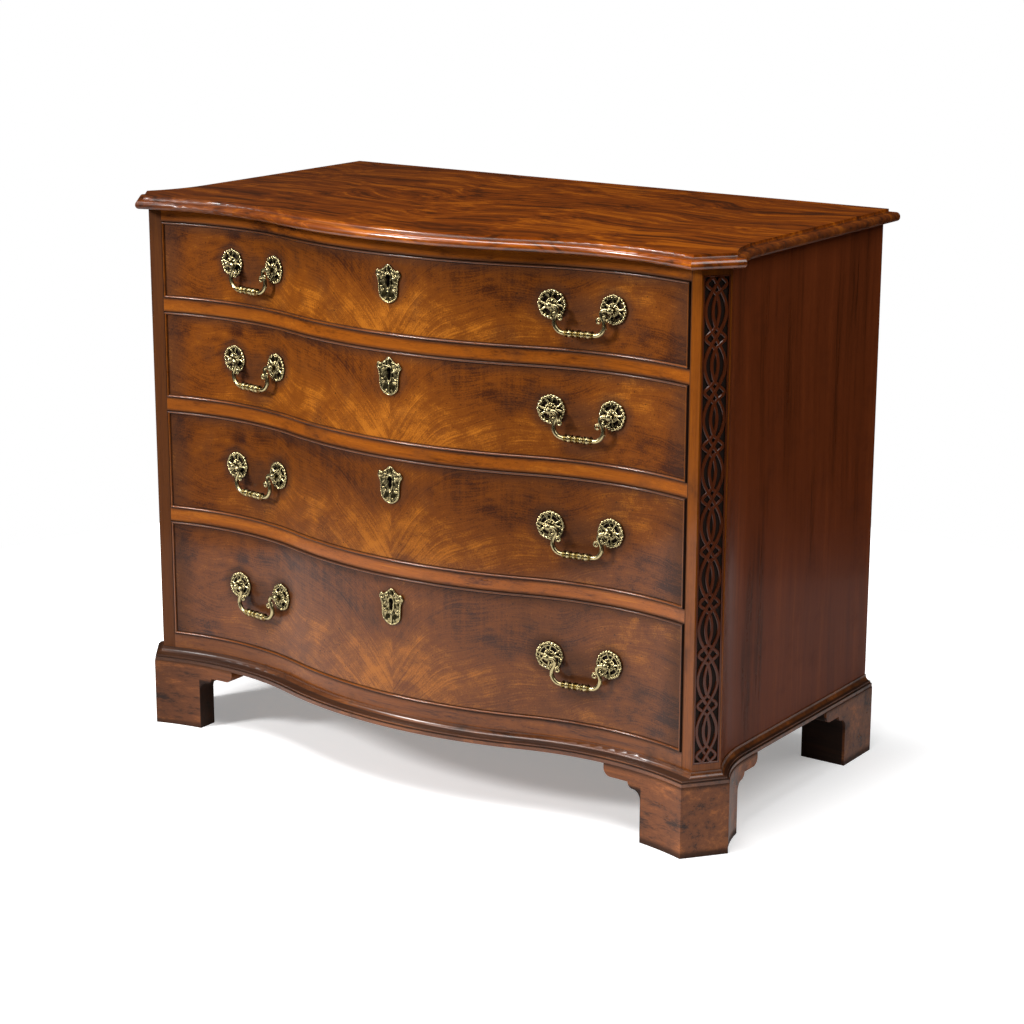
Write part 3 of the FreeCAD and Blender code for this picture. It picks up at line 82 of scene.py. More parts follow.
# How far below the middle of a front the arcs of its figure have their centre
ARC_DEPTH = 0.11
# How many boards make the back, and the share of red, green and blue that its stain leaves
BACK_BOARDS = 4
BACK_STAIN = (0.85, 0.66, 0.52)
# Linear colours that no setting changes
# The next colour is mixed in by masks of painted shade and of dirt
SHADE_AND_DIRT = (0.010, 0.005, 0.003, 1.0)
PIT_DIRT = (0.012, 0.005, 0.002, 1.0)
DARK_IRON = (0.045, 0.042, 0.040, 1.0)
BROWN_RUST = (0.080, 0.035, 0.016, 1.0)
WHITE = (1.0, 1.0, 1.0, 1.0)
# The direction out of the wood at the front
OUT = np.array((0.0, -1.0, 0.0))


# Settings that a user would change
def length(name, description, default):
    """A size in metres."""
    return FloatProperty(name=name, description=description, default=default, unit="LENGTH", precision=4)


def tint(name, description, default):
    """A linear colour."""
    return FloatVectorProperty(
        name=name, description=description, default=default, subtype="COLOR", min=0, max=1)


def amount(name, description, default):
    """A plain number."""
    return FloatProperty(name=name, description=description, default=default, min=0)


class ChestForm(bpy.types.PropertyGroup):
    """The front's curve and the canted corners."""

    bow: length("Bow", "How far the middle of the front stands ahead of the corner line", 0.038)
    hollow: length("Hollow", "How far the hollows lie behind the corner line", 0.022)
    hollow_x: length("Hollow place", "Distance of each hollow's deepest point from the middle", 0.361)
    corner_half: length("Corner half width", "Distance of the front arris of a cant from the middle", 0.500)
    corner_y: length("Corner line", "Where the front arrises stand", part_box("corner_posts")[0][1])
    cant_x: length("Cant width", "How far a cant runs outwards", 0.027)
    cant_y: length("Cant depth", "How far a cant runs back", 0.0345)
    drawer_half: length("Drawer half width", "Half the width of a drawer front",
                        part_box("drawer_1_front")[1][0])
    bead_thick: length("Bead thickness", "Thickness of the cock beads", 0.003)
    bead_proud: length("Bead projection", "How far the cock beads stand proud of the fronts", 0.003)


class FretForm(bpy.types.PropertyGroup):
    """The blind fret on each cant."""

    width: length("Fret width", "Width of the fret panel", 0.0395)
    thick: length("Fret thickness", "Depth of the carving", 0.003)
    strand: length("Strand width", "Width of one interlaced strand", 0.0046)
    border: length("Border width", "Width of the plain strip round the fret", 0.0024)
    tail: length("Tail", "How far the figure runs past its first and last crossings", 0.012)
    bays: IntProperty(name="Bays", description="How many times the figure repeats", default=9, min=1)


class BrassForm(bpy.types.PropertyGroup):
    """The handles and the keyhole plates."""

    handle_x: length("Handle place", "Distance of a handle's middle from the middle of the front", 0.300)
    span: length("Handle span", "Distance between the two posts of a handle", 0.093)
    reach: length("Pivot reach", "How far a bail's pivot stands ahead of the front", 0.013)
    rosette: length("Rosette radius", "Outer radius of a rosette", 0.0218)
    rod: length("Rod radius", "Radius of a bail's rod", 0.0029)
    drop: length("Bail drop", "How far a bail hangs under its pivots", 0.037)
    front_thick: length("Front thickness", "Thickness of a drawer front", 0.024)


class WoodFinish(bpy.types.PropertyGroup):
    """Colours of the timber."""

    front_light: tint("Front light", "Light flashes of the veneer", (0.480, 0.150, 0.012))
    front_middle: tint("Front middle", "Body colour of the veneer", (0.190, 0.049, 0.0045))
    front_dark: tint("Front dark", "Dark figure of the veneer", (0.046, 0.011, 0.0035))
    rail_light: tint("Rail light", "Light grain of the rails and beads", (0.440, 0.126, 0.0085))
    rail_middle: tint("Rail middle", "Body colour of the rails and beads", (0.285, 0.073, 0.0055))
    rail_dark: tint("Rail dark", "Dark grain of the rails and beads", (0.070, 0.016, 0.003))
    top_light: tint("Top light", "Light grain of the top", (0.500, 0.124, 0.004))
    top_middle: tint("Top middle", "Body colour of the top", (0.250, 0.050, 0.0018))
    top_dark: tint("Top dark", "Dark streaks of the top", (0.085, 0.019, 0.002))
    side_light: tint("Side light", "Light grain of the sides", (0.186, 0.040, 0.0095))
    side_middle: tint("Side middle", "Body colour of the sides", (0.122, 0.0255, 0.0065))
    side_dark: tint("Side dark", "Dark grain of the sides", (0.048, 0.011, 0.003))
    foot_light: tint("Foot light", "Light grain of the base and the feet", (0.300, 0.092, 0.020))
    foot_middle: tint("Foot middle", "Body colour of the base and the feet", (0.155, 0.045, 0.011))
    foot_dark: tint("Foot dark", "Dark grain of the base and the feet", (0.024, 0.008, 0.003))
    inner_light: tint("Inside light", "Light grain of the drawer linings", (0.46, 0.28, 0.12))
    inner_dark: tint("Inside dark", "Dark grain of the drawer linings", (0.24, 0.13, 0.05))


class BrassFinish(bpy.types.PropertyGroup):
    """Colours of the metal."""

    bright: tint("Bright", "Rubbed brass on raised parts", (0.50, 0.41, 0.21))
    patina: tint("Patina", "Old lacquer and dirt in the hollows", (0.026, 0.020, 0.008))


class StageForm(bpy.types.PropertyGroup):
    """The camera, the floor and the light."""

    camera_place: FloatVectorProperty(
        name="Camera place", description="Where the camera stands", subtype="XYZ",
        default=(2.1858, -3.1067, 1.3808))
    camera_turn: FloatVectorProperty(
        name="Camera turn", description="Which way the camera looks", subtype="EULER",
        default=(math.radians(75.136), math.radians(-0.14), math.radians(34.93)))
    floor: length("Floor radius", "Radius of the round pale floor", 1.5)
    lens: FloatProperty(
        name="Lens", description="Focal length in millimetres on a 36 mm sensor", default=87.93)
    key: amount("Key light", "Power of the overhead softbox", 75.0)
    front: amount("Front light", "Power of the softbox in front on the left", 135.0)
    fill: amount("Fill light", "Power of the weak softbox on the right", 34.0)
    room: amount("Room light", "Strength of the dim room", 0.008)
    # The floor glows to the camera: painted light, weaker near and under the chest, where it paints the
    # chest's shadow
    lift: amount("Floor lift", "How much brighter the floor looks to the camera away from the chest", 1.0)
    shade: amount("Floor shade", "How much brighter the floor looks to the camera under the chest", 0.30)


class ChestSettings(bpy.types.PropertyGroup):
    """All settings of the chest."""

    form: PointerProperty(type=ChestForm)
    fret: PointerProperty(type=FretForm)
    brass: PointerProperty(type=BrassForm)
    wood_finish: PointerProperty(type=WoodFinish)
    brass_finish: PointerProperty(type=BrassFinish)
    stage: PointerProperty(type=StageForm)


# Surfaces as grids of points
class Surface:
    """A grid of points, whether its rows and columns close, and how far each point faces out."""

    def __init__(self, points, wrap_rows=False, wrap_columns=False, relief=None):
        self.points = points
        self.wrap_rows = wrap_rows
        self.wrap_columns = wrap_columns
        self.relief = np.ones(points.shape[:2]) if relief is None else relief

    def quads(self):
        """The grid's faces: each point with its next row and its next column."""
        rows, columns = self.points.shape[:2]
        row = np.arange(rows if self.wrap_rows else rows - 1)
        column = np.arange(columns if self.wrap_columns else columns - 1)
        row, column = np.meshgrid(row, column, indexing="ij")
        next_row = (row + 1) % rows
        next_column = (column + 1) % columns
        corners = (row * columns + column, next_row * columns + column,
                   next_row * columns + next_column, row * columns + next_column)
        return np.stack(corners, axis=-1).reshape(-1, 4)

    def moved(self, turn, place):
        """The same surface turned by a matrix and moved to a place."""
        return Surface(self.points @ turn.T + place, self.wrap_rows, self.wrap_columns, self.relief)


def unit(vectors):
    """Vectors divided by their own lengths."""
    return vectors / np.linalg.norm(vectors, axis=-1, keepdims=True)


def whole_turn(count):
    """Angles that share out a whole turn."""
    return np.linspace(0, 2 * math.pi, count, endpoint=False)


def smoothing(count):
    """A bell of weights that add up to 1."""
    weights = np.hanning(count)
    return weights / weights.sum()


def in_plane(x, z):
    """Points of the plane of X and Z."""
    return np.stack((x, 0 * x, z), axis=-1)


def swept(path, profile, facing, scale=None, closed=False):
    """A profile carried along a path: point = path + scale * (across * p + up * q).

    p and q are the profile's columns. across is the path's direction crossed with
    facing, which is one direction or one for each point, and up is the part of facing
    square to the path. Open ends close to a point.
    """
    if closed:
        direction = unit(np.roll(path, -1, axis=0) - np.roll(path, 1, axis=0))
    else:
        direction = unit(np.gradient(path, axis=0))
    across = unit(np.cross(direction, facing))
    up = np.cross(across, direction)
    scale = np.ones(len(path)) if scale is None else scale
    offsets = across[:, None] * profile[None, :, :1] + up[:, None] * profile[None, :, 1:]
    points = path[:, None] + scale[:, None, None] * offsets
    reach = np.abs(profile[:, 1]).max()
    relief = np.tile(0.5 + 0.5 * profile[:, 1] / reach, (len(path), 1))
    if not closed:
        points = np.concatenate([path[:1, None].repeat(len(profile), 1), points,
                                 path[-1:, None].repeat(len(profile), 1)])
        relief = np.concatenate([relief[:1], relief, relief[-1:]])
    return Surface(points, wrap_rows=closed, wrap_columns=True, relief=relief)


def circle(radius, sides):
    """A round profile."""
    turn = whole_turn(sides)
    return radius * np.stack((np.cos(turn), np.sin(turn)), axis=-1)


def chamfered_bar(width, height, chamfer):
    """A bar's profile, square at the back and with small chamfers in front."""
    p, q = width / 2, height / 2
    right = np.array(((p, -q), (p, q - chamfer), (p - chamfer, q)))
    return np.concatenate([right, right[::-1] * (-1, 1)])


def turned(stations, sides=24, lobes=0, depth=0.0):
    """A form turned about the line out of the wood: (height, radius) stations.

    Radius at angle a = station radius * (1 + depth * cos(lobes * a)).
    """
    height, radius = np.array(stations).T
    turn = whole_turn(sides)
    wide = radius[:, None] * (1 + depth * np.cos(lobes * turn))
    points = in_plane(wide * np.cos(turn), wide * np.sin(turn)) + OUT * height[:, None, None]
    widening, rising = np.gradient(radius), np.gradient(height)
    slope = widening / np.maximum(np.hypot(widening, rising), 1e-9)
    relief = (0.5 - 0.5 * slope)[:, None] * (0.8 + 0.2 * np.cos(lobes * turn))
    return Surface(points, wrap_columns=True, relief=relief)


def eased(stations, count):
    """Stations of a turned form joined by a smooth curve through them."""
    stations = np.array(stations)
    knots = np.linspace(0, 1, len(stations))
    fine = np.linspace(0, 1, count)
    smooth = [np.interp(fine, knots, column) for column in stations.T]
    weights = smoothing(2 * (count // len(stations)) + 3)
    padded = [np.pad(column, len(weights) // 2, mode="edge") for column in smooth]
    rounded = np.stack([np.convolve(column, weights, mode="valid") for column in padded], axis=-1)
    rounded[0], rounded[-1] = stations[0], stations[-1]
    return rounded


def make_piece(name, surfaces, material, body, crease):
    """One object from grids of points, with doubles merged, sharp over the crease's degrees, on a body."""
    starts = np.cumsum([0] + [surface.points.shape[0] * surface.points.shape[1] for surface in surfaces])
    points = np.concatenate([surface.points.reshape(-1, 3) for surface in surfaces])
    quads = np.concatenate([surface.quads() + start for surface, start in zip(surfaces, starts)])
    relief = np.concatenate([surface.relief.reshape(-1) for surface in surfaces])
    mesh = bpy.data.meshes.new(name)
    mesh.from_pydata(points, [], quads)
    mesh.attributes.new("relief", "FLOAT", "POINT").data.foreach_set("value", relief.astype(np.float32))
    form = bmesh.new()
    form.from_mesh(mesh)
    bmesh.ops.remove_doubles(form, verts=form.verts, dist=1e-6)
    bmesh.ops.dissolve_degenerate(form, edges=form.edges, dist=1e-7)
    bmesh.ops.recalc_face_normals(form, faces=form.faces)
    form.to_mesh(mesh)
    form.free()
    mesh.polygons.foreach_set("use_smooth", np.ones(len(mesh.polygons), dtype=bool))
    mesh.set_sharp_from_angle(angle=math.radians(crease))
    mesh.materials.append(material)
    piece = bpy.data.objects.new(name, mesh)
    bpy.context.scene.collection.objects.link(piece)
    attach(piece, body)
    return piece


# Curves of the front
def hollow_radius(form):
    """Radius of the hollows: they meet the corner line at the arrises."""
    return ((form.corner_half - form.hollow_x) ** 2 + form.hollow ** 2) / (2 * form.hollow)


def bow_radius(form):
    """Radius of the bow: its circle touches the circles of the hollows."""
    rise = form.bow + form.hollow
    return (form.hollow_x ** 2 + rise ** 2) / (2 * rise) - hollow_radius(form)


def hollow_centre(form, side):
    """The centre of the right (+1) or left (-1) hollow's circle."""
    return np.array((side * form.hollow_x, form.corner_y + form.hollow - hollow_radius(form)))


def front_curve(form, x):
    """Points of the front in plan and the directions out of it.

    Between the joints y = c - sqrt(R^2 - x^2) on the bow, and beyond them
    y = c + sqrt(r^2 - (|x| - h)^2) on the hollows, with the centres c of their circles.
    """
    bow, hollow = bow_radius(form), hollow_radius(form)
    bow_y = form.corner_y + bow - form.bow
    joint = bow * form.hollow_x / (bow + hollow)
    side = np.where(x < 0, -1.0, 1.0)
    centre_y = hollow_centre(form, 1)[1]
    on_bow = np.abs(x) < joint
    bow_part = bow_y - np.sqrt(np.maximum(bow ** 2 - x ** 2, 0))
    hollow_part = centre_y + np.sqrt(np.maximum(hollow ** 2 - (np.abs(x) - form.hollow_x) ** 2, 0))
    y = np.where(on_bow, bow_part, hollow_part)
    out_x = np.where(on_bow, x / bow, (side * form.hollow_x - x) / hollow)
    out_y = np.where(on_bow, (y - bow_y) / bow, (centre_y - y) / hollow)
    return np.stack((x, y), axis=-1), np.stack((out_x, out_y), axis=-1)


def hollow_spot(form, brass, side, lean, height):
    """The turn and the place of a piece on the hollow: lean is +1 or -1 post, 0 the middle."""
    radius = hollow_radius(form)
    angle = math.asin((brass.handle_x - form.hollow_x) / radius)
    angle += lean * math.asin(brass.span / 2 / (radius - brass.reach))
    x, y = hollow_centre(form, side)
    sine, cosine = side * math.sin(angle), math.cos(angle)
    turn = np.array(((cosine, sine, 0), (-sine, cosine, 0), (0, 0, 1)))
    return turn, np.array((x + radius * sine, y + radius * cosine, height))


# Shader helpers
def feed(tree, node, inputs):
    """Link a node's inputs, or set those whose values are plain."""
    for key, value in inputs.items():
        if isinstance(value, bpy.types.NodeSocket):
            tree.links.new(value, node.inputs[key])
        else:
            node.inputs[key].default_value = value


def add(tree, kind, inputs=None, **choices):
    """A node with its choices made and its inputs fed."""
    node = tree.nodes.new(kind)
    for key, value in choices.items():
        setattr(node, key, value)
    feed(tree, node, inputs or {})
    return node


def maths(tree, operation, first, second=0.0, third=0.0, clamp=False):
    """One arithmetic step on values."""
    inputs = {0: first, 1: second, 2: third}
    return add(tree, "ShaderNodeMath", inputs, operation=operation, use_clamp=clamp).outputs[0]


def product(tree, first, *others):
    """Values multiplied together."""
    for value in others:
        first = maths(tree, "MULTIPLY", first, value)
    return first


def strongest(tree, first, *others):
    """The greatest of several values."""
    for value in others:
        first = maths(tree, "MAXIMUM", first, value)
    return first


def swayed(tree, value, figure, weight, clamp=False):
    """A value raised or lowered by a figure that runs about 0.5, times a weight."""
    return maths(tree, "MULTIPLY_ADD", maths(tree, "SUBTRACT", figure, 0.5), weight, value, clamp)


def split(tree, vector):
    """The X, Y and Z of a vector."""
    return add(tree, "ShaderNodeSeparateXYZ", {0: vector}).outputs


def combined(tree, x, y, z):
    """A vector from its X, Y and Z."""
    return add(tree, "ShaderNodeCombineXYZ", {0: x, 1: y, 2: z}).outputs[0]


def stretch(tree, vector, scale):
    """A vector with each of its parts scaled."""
    return add(tree, "ShaderNodeVectorMath", {0: vector, 1: scale}, operation="MULTIPLY").outputs[0]


def noise(tree, vector, scale=1.0, detail=4.0, roughness=0.55, distortion=0.0):
    """Cloudy values from 0 to 1; a scale of three numbers is one for each of X, Y and Z."""
    if isinstance(scale, tuple):
        vector, scale = stretch(tree, vector, scale), 1.0
    inputs = {"Vector": vector, "Scale": scale, "Detail": detail, "Roughness": roughness,
              "Distortion": distortion}
    return add(tree, "ShaderNodeTexNoise", inputs).outputs[0]


def window(tree, value, low, high, to_low=0.0, to_high=1.0):
    """A value moved smoothly from one range to another."""
    inputs = {0: value, 1: low, 2: high, 3: to_low, 4: to_high}
    return add(tree, "ShaderNodeMapRange", inputs, interpolation_type="SMOOTHSTEP").outputs[0]


def mixed(tree, factor, first, second):
    """Two colours mixed by a factor."""
    return add(tree, "ShaderNodeMix", {0: factor, 6: first, 7: second}, data_type="RGBA").outputs[2]


def bump(tree, height, strength, distance):
    """A normal that follows a height."""
    inputs = {"Height": height, "Strength": strength, "Distance": distance}
    return add(tree, "ShaderNodeBump", inputs).outputs[0]


def three_tone(tree, factor, dark, middle, light):
    """A colour from dark through middle to light as the factor goes from 0 to 1."""
    lower = mixed(tree, window(tree, factor, 0.0, 0.5), dark, middle)
    return mixed(tree, window(tree, factor, 0.5, 1.0), lower, light)


def new_group(name, inputs, outputs):
    """An empty node group with named sockets; returns it with its input and output nodes."""
    tree = bpy.data.node_groups.new(name, "ShaderNodeTree")
    for socket, kind in inputs:
        tree.interface.new_socket(socket, in_out="INPUT", socket_type=kind)
    for socket, kind in outputs:
        tree.interface.new_socket(socket, in_out="OUTPUT", socket_type=kind)
    return tree, add(tree, "NodeGroupInput").outputs, add(tree, "NodeGroupOutput")


COLOUR, VALUE, VECTOR = "NodeSocketColor", "NodeSocketFloat", "NodeSocketVector"
WOOD_TONES = (("Dark", COLOUR), ("Middle", COLOUR), ("Light", COLOUR))
WOOD_RESULTS = (("Color", COLOUR), ("Roughness", VALUE), ("Height", VALUE))


def grain_group():
    """Grain along the vector's X: broad bands that may swirl, fine fibres and short dark pores."""
    if "straight_grain" in bpy.data.node_groups:
        return bpy.data.node_groups["straight_grain"]
    inputs = (("Vector", VECTOR), *WOOD_TONES, ("Bands", VALUE), ("Streaks", VALUE), ("Swirl", VALUE))
    tree, given, end = new_group("straight_grain", inputs, WOOD_RESULTS)
    vector = given["Vector"]
    warp = add(tree, "ShaderNodeTexNoise", {"Vector": vector, "Scale": 3.0, "Detail": 2.0}).outputs[1]
    warp = add(tree, "ShaderNodeVectorMath", {0: warp, "Scale": given["Swirl"]}, operation="SCALE")
    bent = add(tree, "ShaderNodeVectorMath", {0: warp.outputs[0], 1: vector}, operation="ADD").outputs[0]
    bands = noise(tree, bent, (1.6, 26.0, 26.0), detail=5.0, roughness=0.6)
    streaks = noise(tree, bent, (3.0, 110.0, 110.0), roughness=0.65)
    fibres = noise(tree, vector, (14.0, 620.0, 620.0), detail=2.0)
    pores = noise(tree, vector, (55.0, 1300.0, 1300.0), detail=1.0)
    tone = swayed(tree, 0.5, bands, given["Bands"])
    tone = swayed(tree, tone, streaks, given["Streaks"])
    tone = swayed(tree, tone, fibres, 0.55, clamp=True)
    colour = three_tone(tree, tone, given["Dark"], given["Middle"], given["Light"])
    pore = window(tree, pores, 0.62, 0.74)
    colour = mixed(tree, product(tree, pore, 0.55), colour, given["Dark"])
    rough = maths(tree, "MULTIPLY_ADD", bands, 0.16, 0.22)
    height = maths(tree, "SUBTRACT", product(tree, fibres, 0.5), pore)
    feed(tree, end, {"Color": colour, "Roughness": rough, "Height": height})
    return tree


def flame_group():
    """Flame figure of a bookmatched veneer: feathers rise from the middle seam and flatten outwards.

    With a the distance from the seam and h the height, the feathers follow lines of equal
    h - 0.2 a / (a + 0.12), which leave the seam steeply and run level at the ends. Below half
    height, bands of light lie in arcs round a point of the seam; above it the wood is darker
    and ripples upright. The ends are knotty.
    """
    if "flame_figure" in bpy.data.node_groups:
        return bpy.data.node_groups["flame_figure"]
    tree, given, end = new_group("flame_figure", (("Vector", VECTOR), *WOOD_TONES), WOOD_RESULTS)
    vector = given["Vector"]
    x, _, z = split(tree, vector)
    side, from_seam = maths(tree, "SIGN", x), maths(tree, "ABSOLUTE", x)
    wander = noise(tree, vector, (5.0, 0.0, 8.0), detail=1.5)
    drift = noise(tree, vector, (6.0, 0.0, 5.0), detail=1.0)
    out = maths(tree, "MAXIMUM", swayed(tree, from_seam, wander, 0.05), 0.0)
    rise = maths(tree, "DIVIDE", product(tree, out, 0.2), maths(tree, "ADD", out, 0.12))
    level = swayed(tree, maths(tree, "SUBTRACT", z, rise), drift, 0.10)

    def feather(run, turns):
        """A vector that repeats along the feathers and across them."""
        return combined(tree, product(tree, out, run), product(tree, level, turns), side)

    below = maths(tree, "ADD", z, ARC_DEPTH)
    ring = maths(tree, "SQRT", maths(tree, "MULTIPLY_ADD", below, below, product(tree, out, out, 0.35)))
    ring = swayed(tree, ring, drift, 0.05)
    round_seam = combined(tree, product(tree, ring, 30.0), product(tree, out, 7.0), side)

    middle = window(tree, from_seam, 0.20, 0.36, 1.0, 0.0)
    upper = product(tree, window(tree, swayed(tree, z, wander, 0.06), -0.022, 0.022), middle)
    lower, ends = maths(tree, "SUBTRACT", middle, upper), maths(tree, "SUBTRACT", 1.0, middle)

    clouds = noise(tree, vector, (4.6, 0.0, 8.0), detail=6.0, roughness=0.66, distortion=0.7)
    flashes = noise(tree, feather(3.2, 17.0), roughness=0.6, distortion=0.5)
    plumes = noise(tree, feather(5.0, 110.0), roughness=0.62)
    fibres = noise(tree, feather(16.0, 420.0), detail=3.0, roughness=0.6)
    specks = noise(tree, vector, (420.0, 0.0, 520.0), detail=2.0, roughness=0.7)
    mottle = noise(tree, vector, (34.0, 0.0, 46.0), roughness=0.7, distortion=0.4)
    ripple = noise(tree, vector, (150.0, 0.0, 7.0), detail=3.0)
    arcs = noise(tree, round_seam, detail=5.0, roughness=0.62, distortion=0.8)
    knots = noise(tree, vector, (9.0, 0.0, 15.0), detail=5.0, roughness=0.6, distortion=1.4)
    pits = noise(tree, vector, (190.0, 0.0, 260.0), detail=1.0)

    tone = maths(tree, "MULTIPLY_ADD", upper, -0.02, maths(tree, "MULTIPLY_ADD", lower, 0.18, 0.40))
    # Painted sheen: lighter near the seam, where the bow's middle catches the light, and painted shade on
    # its flanks
    tone = maths(tree, "ADD", tone, window(tree, from_seam, 0.04, 0.15, 0.07, -0.05))
    for figure, weight in ((clouds, 1.3), (flashes, 0.55), (fibres, 0.75), (specks, 0.75), (mottle, 0.6)):
        tone = swayed(tree, tone, figure, weight)
    for figure, zone, weight in ((plumes, lower, 0.55), (ripple, upper, 0.38), (arcs, lower, 0.55),
                                 (knots, ends, 1.3)):
        tone = swayed(tree, tone, figure, product(tree, zone, weight))
    tone = maths(tree, "ADD", tone, 0.0, clamp=True)
    colour = three_tone(tree, tone, given["Dark"], given["Middle"], given["Light"])
    pit = window(tree, pits, 0.67, 0.75)
    colour = mixed(tree, product(tree, pit, 0.7), colour, PIT_DIRT)
    rough = maths(tree, "MULTIPLY_ADD", clouds, 0.14, 0.26)
    height = maths(tree, "SUBTRACT", product(tree, fibres, 0.4), pit)
    feed(tree, end, {"Color": colour, "Roughness": rough, "Height": height})
    return tree


def grime_and_shade_group():
    """Dirt, rubbing and painted shade: darkens a colour by a mask of painted shade and dirt and by cloudy
    patches of dirt, and dulls its shine.
    """
    if "old_grime" in bpy.data.node_groups:
        return bpy.data.node_groups["old_grime"]
    bare = (("Color", COLOUR), ("Roughness", VALUE))
    inputs = (("Vector", VECTOR), *bare, ("Mask", VALUE), ("Patches", VALUE))
    tree, given, end = new_group("old_grime", inputs, bare)
    patches = noise(tree, given["Vector"], 14.0, detail=6.0, roughness=0.65)
    patch = product(tree, window(tree, patches, 0.5, 0.75), given["Patches"])
    cover = maths(tree, "MAXIMUM", given["Mask"], patch, clamp=True)
    darkened = mixed(tree, cover, given["Color"], SHADE_AND_DIRT)
    rough = maths(tree, "MULTIPLY_ADD", cover, 0.35, given["Roughness"], clamp=True)
    feed(tree, end, {"Color": darkened, "Roughness": rough})
    return tree


# Materials
def settings():
    """The scene's chest settings."""
    return bpy.context.scene.chest


def tones(kind, share=1.0):
    """A timber's dark, middle and light colours, at a share of their strength."""
    wood = settings().wood_finish
    colours = (getattr(wood, f"{kind}_{depth}") for depth in ("dark", "middle", "light"))
    return [tuple(share * value for value in colour) for colour in colours]


def rgba(colour):
    """A colour setting with full cover."""
    return (*colour, 1.0)


def new_material(name):
    """An empty material with its tree, shader and object coordinates."""
    material = bpy.data.materials.new(name)
    material.use_nodes = True
    tree = material.node_tree
    shader = tree.nodes["Principled BSDF"]
    coordinates = add(tree, "ShaderNodeTexCoord").outputs["Object"]
    return material, tree, shader, coordinates


def along(tree, coordinates, direction):
    """Object coordinates turned so that the grain direction becomes X."""
    turns = {"x": (0, 0, 0), "y": (0, 0, math.radians(-90)), "z": (0, math.radians(90), 0)}
    inputs = {"Vector": coordinates, "Rotation": turns[direction]}
    return add(tree, "ShaderNodeMapping", inputs).outputs[0]


def polish(tree, shader, coordinates, wood, cover, patches, coat, gloss=0.09):
    """Old french polish on a wood group's results: open grain, dirt and painted shade where the mask and
    the patches cover it, and a coat where the mask doesn't.
    """
    dirt_and_shade = {"Vector": coordinates, "Color": wood["Color"], "Roughness": wood["Roughness"],
             "Mask": cover, "Patches": patches}
    marked = add(tree, "ShaderNodeGroup", dirt_and_shade, node_tree=grime_and_shade_group()).outputs
    if isinstance(cover, bpy.types.NodeSocket):
        bare = maths(tree, "SUBTRACT", 1.0, cover, clamp=True)
        coated = product(tree, bare, coat)
    else:
        coated = coat
    feed(tree, shader, {
        "Base Color": marked["Color"], "Roughness": marked["Roughness"],
        "Normal": bump(tree, wood["Height"], strength=0.03, distance=0.6 * MM),
        "Coat Weight": coated, "Coat Roughness": gloss,
        "Specular IOR Level": min(0.05 + 0.4 * coat, 0.22)})


def timber(name, direction, colours, bands, streaks, coat, patches, mask=None, gloss=0.09, swirl=0.02):
    """Straight-grained polished wood: its grain's direction and its dark, middle and light colours."""
    material, tree, shader, coordinates = new_material(name)
    dark, middle, light = map(rgba, colours)
    inputs = {"Vector": along(tree, coordinates, direction), "Dark": dark, "Middle": middle,
              "Light": light, "Bands": bands, "Streaks": streaks, "Swirl": swirl}
    grain = add(tree, "ShaderNodeGroup", inputs, node_tree=grain_group())
    cover = mask(tree, coordinates) if mask else 0.0
    polish(tree, shader, coordinates, grain.outputs, cover, patches, coat, gloss)
    return material


def front_shade_and_dirt(tree, coordinates, box, spots):
    """Painted shade and dirt on a drawer front: along its edges and towards its ends, and round each
    (place, radius, strength) spot.
    """
    (_, _, bottom), (end, _, top) = box
    x, _, z = split(tree, coordinates)
    out = maths(tree, "ABSOLUTE", x)
    inside_bead = 3.4 * MM
    covers = [window(tree, out, end - 50 * MM, end - 4 * MM, 0.0, 0.5),
              window(tree, out, end - 6 * MM, end - inside_bead, 0.0, 0.85),
              window(tree, z, top - 6.5 * MM, top - inside_bead, 0.0, 0.85),
              window(tree, z, top - 22 * MM, top - 4 * MM, 0.0, 0.4),
              window(tree, z, bottom + inside_bead, bottom + 6 * MM, 0.85, 0.0)]
    flat = stretch(tree, coordinates, (1.0, 0.0, 1.0))
    for place, radius, strength in spots:
        ends = {0: flat, 1: (place[0], 0.0, place[2])}
        away = add(tree, "ShaderNodeVectorMath", ends, operation="DISTANCE").outputs["Value"]
        covers.append(window(tree, away, 0.7 * radius, 1.35 * radius, strength, 0.0))
    return strongest(tree, *covers)


def veneer(number, spots):
    """Flame veneer of one drawer front, its feather set on that front's own middle."""
    material, tree, shader, coordinates = new_material(f"flame_veneer_{number}")
    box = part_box(f"drawer_{number}_front")
    from_middle = (0.0, 0.0, -(box[0][2] + box[1][2]) / 2)
    mapped = add(tree, "ShaderNodeMapping", {"Vector": coordinates, "Location": from_middle}).outputs[0]
    # Each front's colours are darkened by its share of painted shade
    dark, middle, light = map(rgba, tones("front", FRONT_SHADE_SHARE[number]))
    inputs = {"Vector": mapped, "Dark": dark, "Middle": middle, "Light": light}
    flame = add(tree, "ShaderNodeGroup", inputs, node_tree=flame_group())
    cover = front_shade_and_dirt(tree, coordinates, box, spots)
    polish(tree, shader, coordinates, flame.outputs, cover, patches=0.3, coat=0.35)
    return material


def old_brass():
    """Lacquered brass: bright where it faces out and is rubbed, dark in the hollows behind."""
    if "old_brass" in bpy.data.materials:
        return bpy.data.materials["old_brass"]
    finish = settings().brass_finish
    material, tree, shader, coordinates = new_material("old_brass")
    relief = add(tree, "ShaderNodeAttribute", attribute_name="relief").outputs["Fac"]
    spots = noise(tree, coordinates, 330.0, roughness=0.6)
    marked = swayed(tree, relief, spots, 0.6)
    colour = mixed(tree, window(tree, marked, 0.36, 0.98), rgba(finish.patina), rgba(finish.bright))
    rough = window(tree, marked, 0.2, 0.9, 0.55, 0.26)
    feed(tree, shader, {"Base Color": colour, "Roughness": rough, "Metallic": 1.0,
                        "Normal": bump(tree, spots, strength=0.15, distance=0.4 * MM)})
    return material


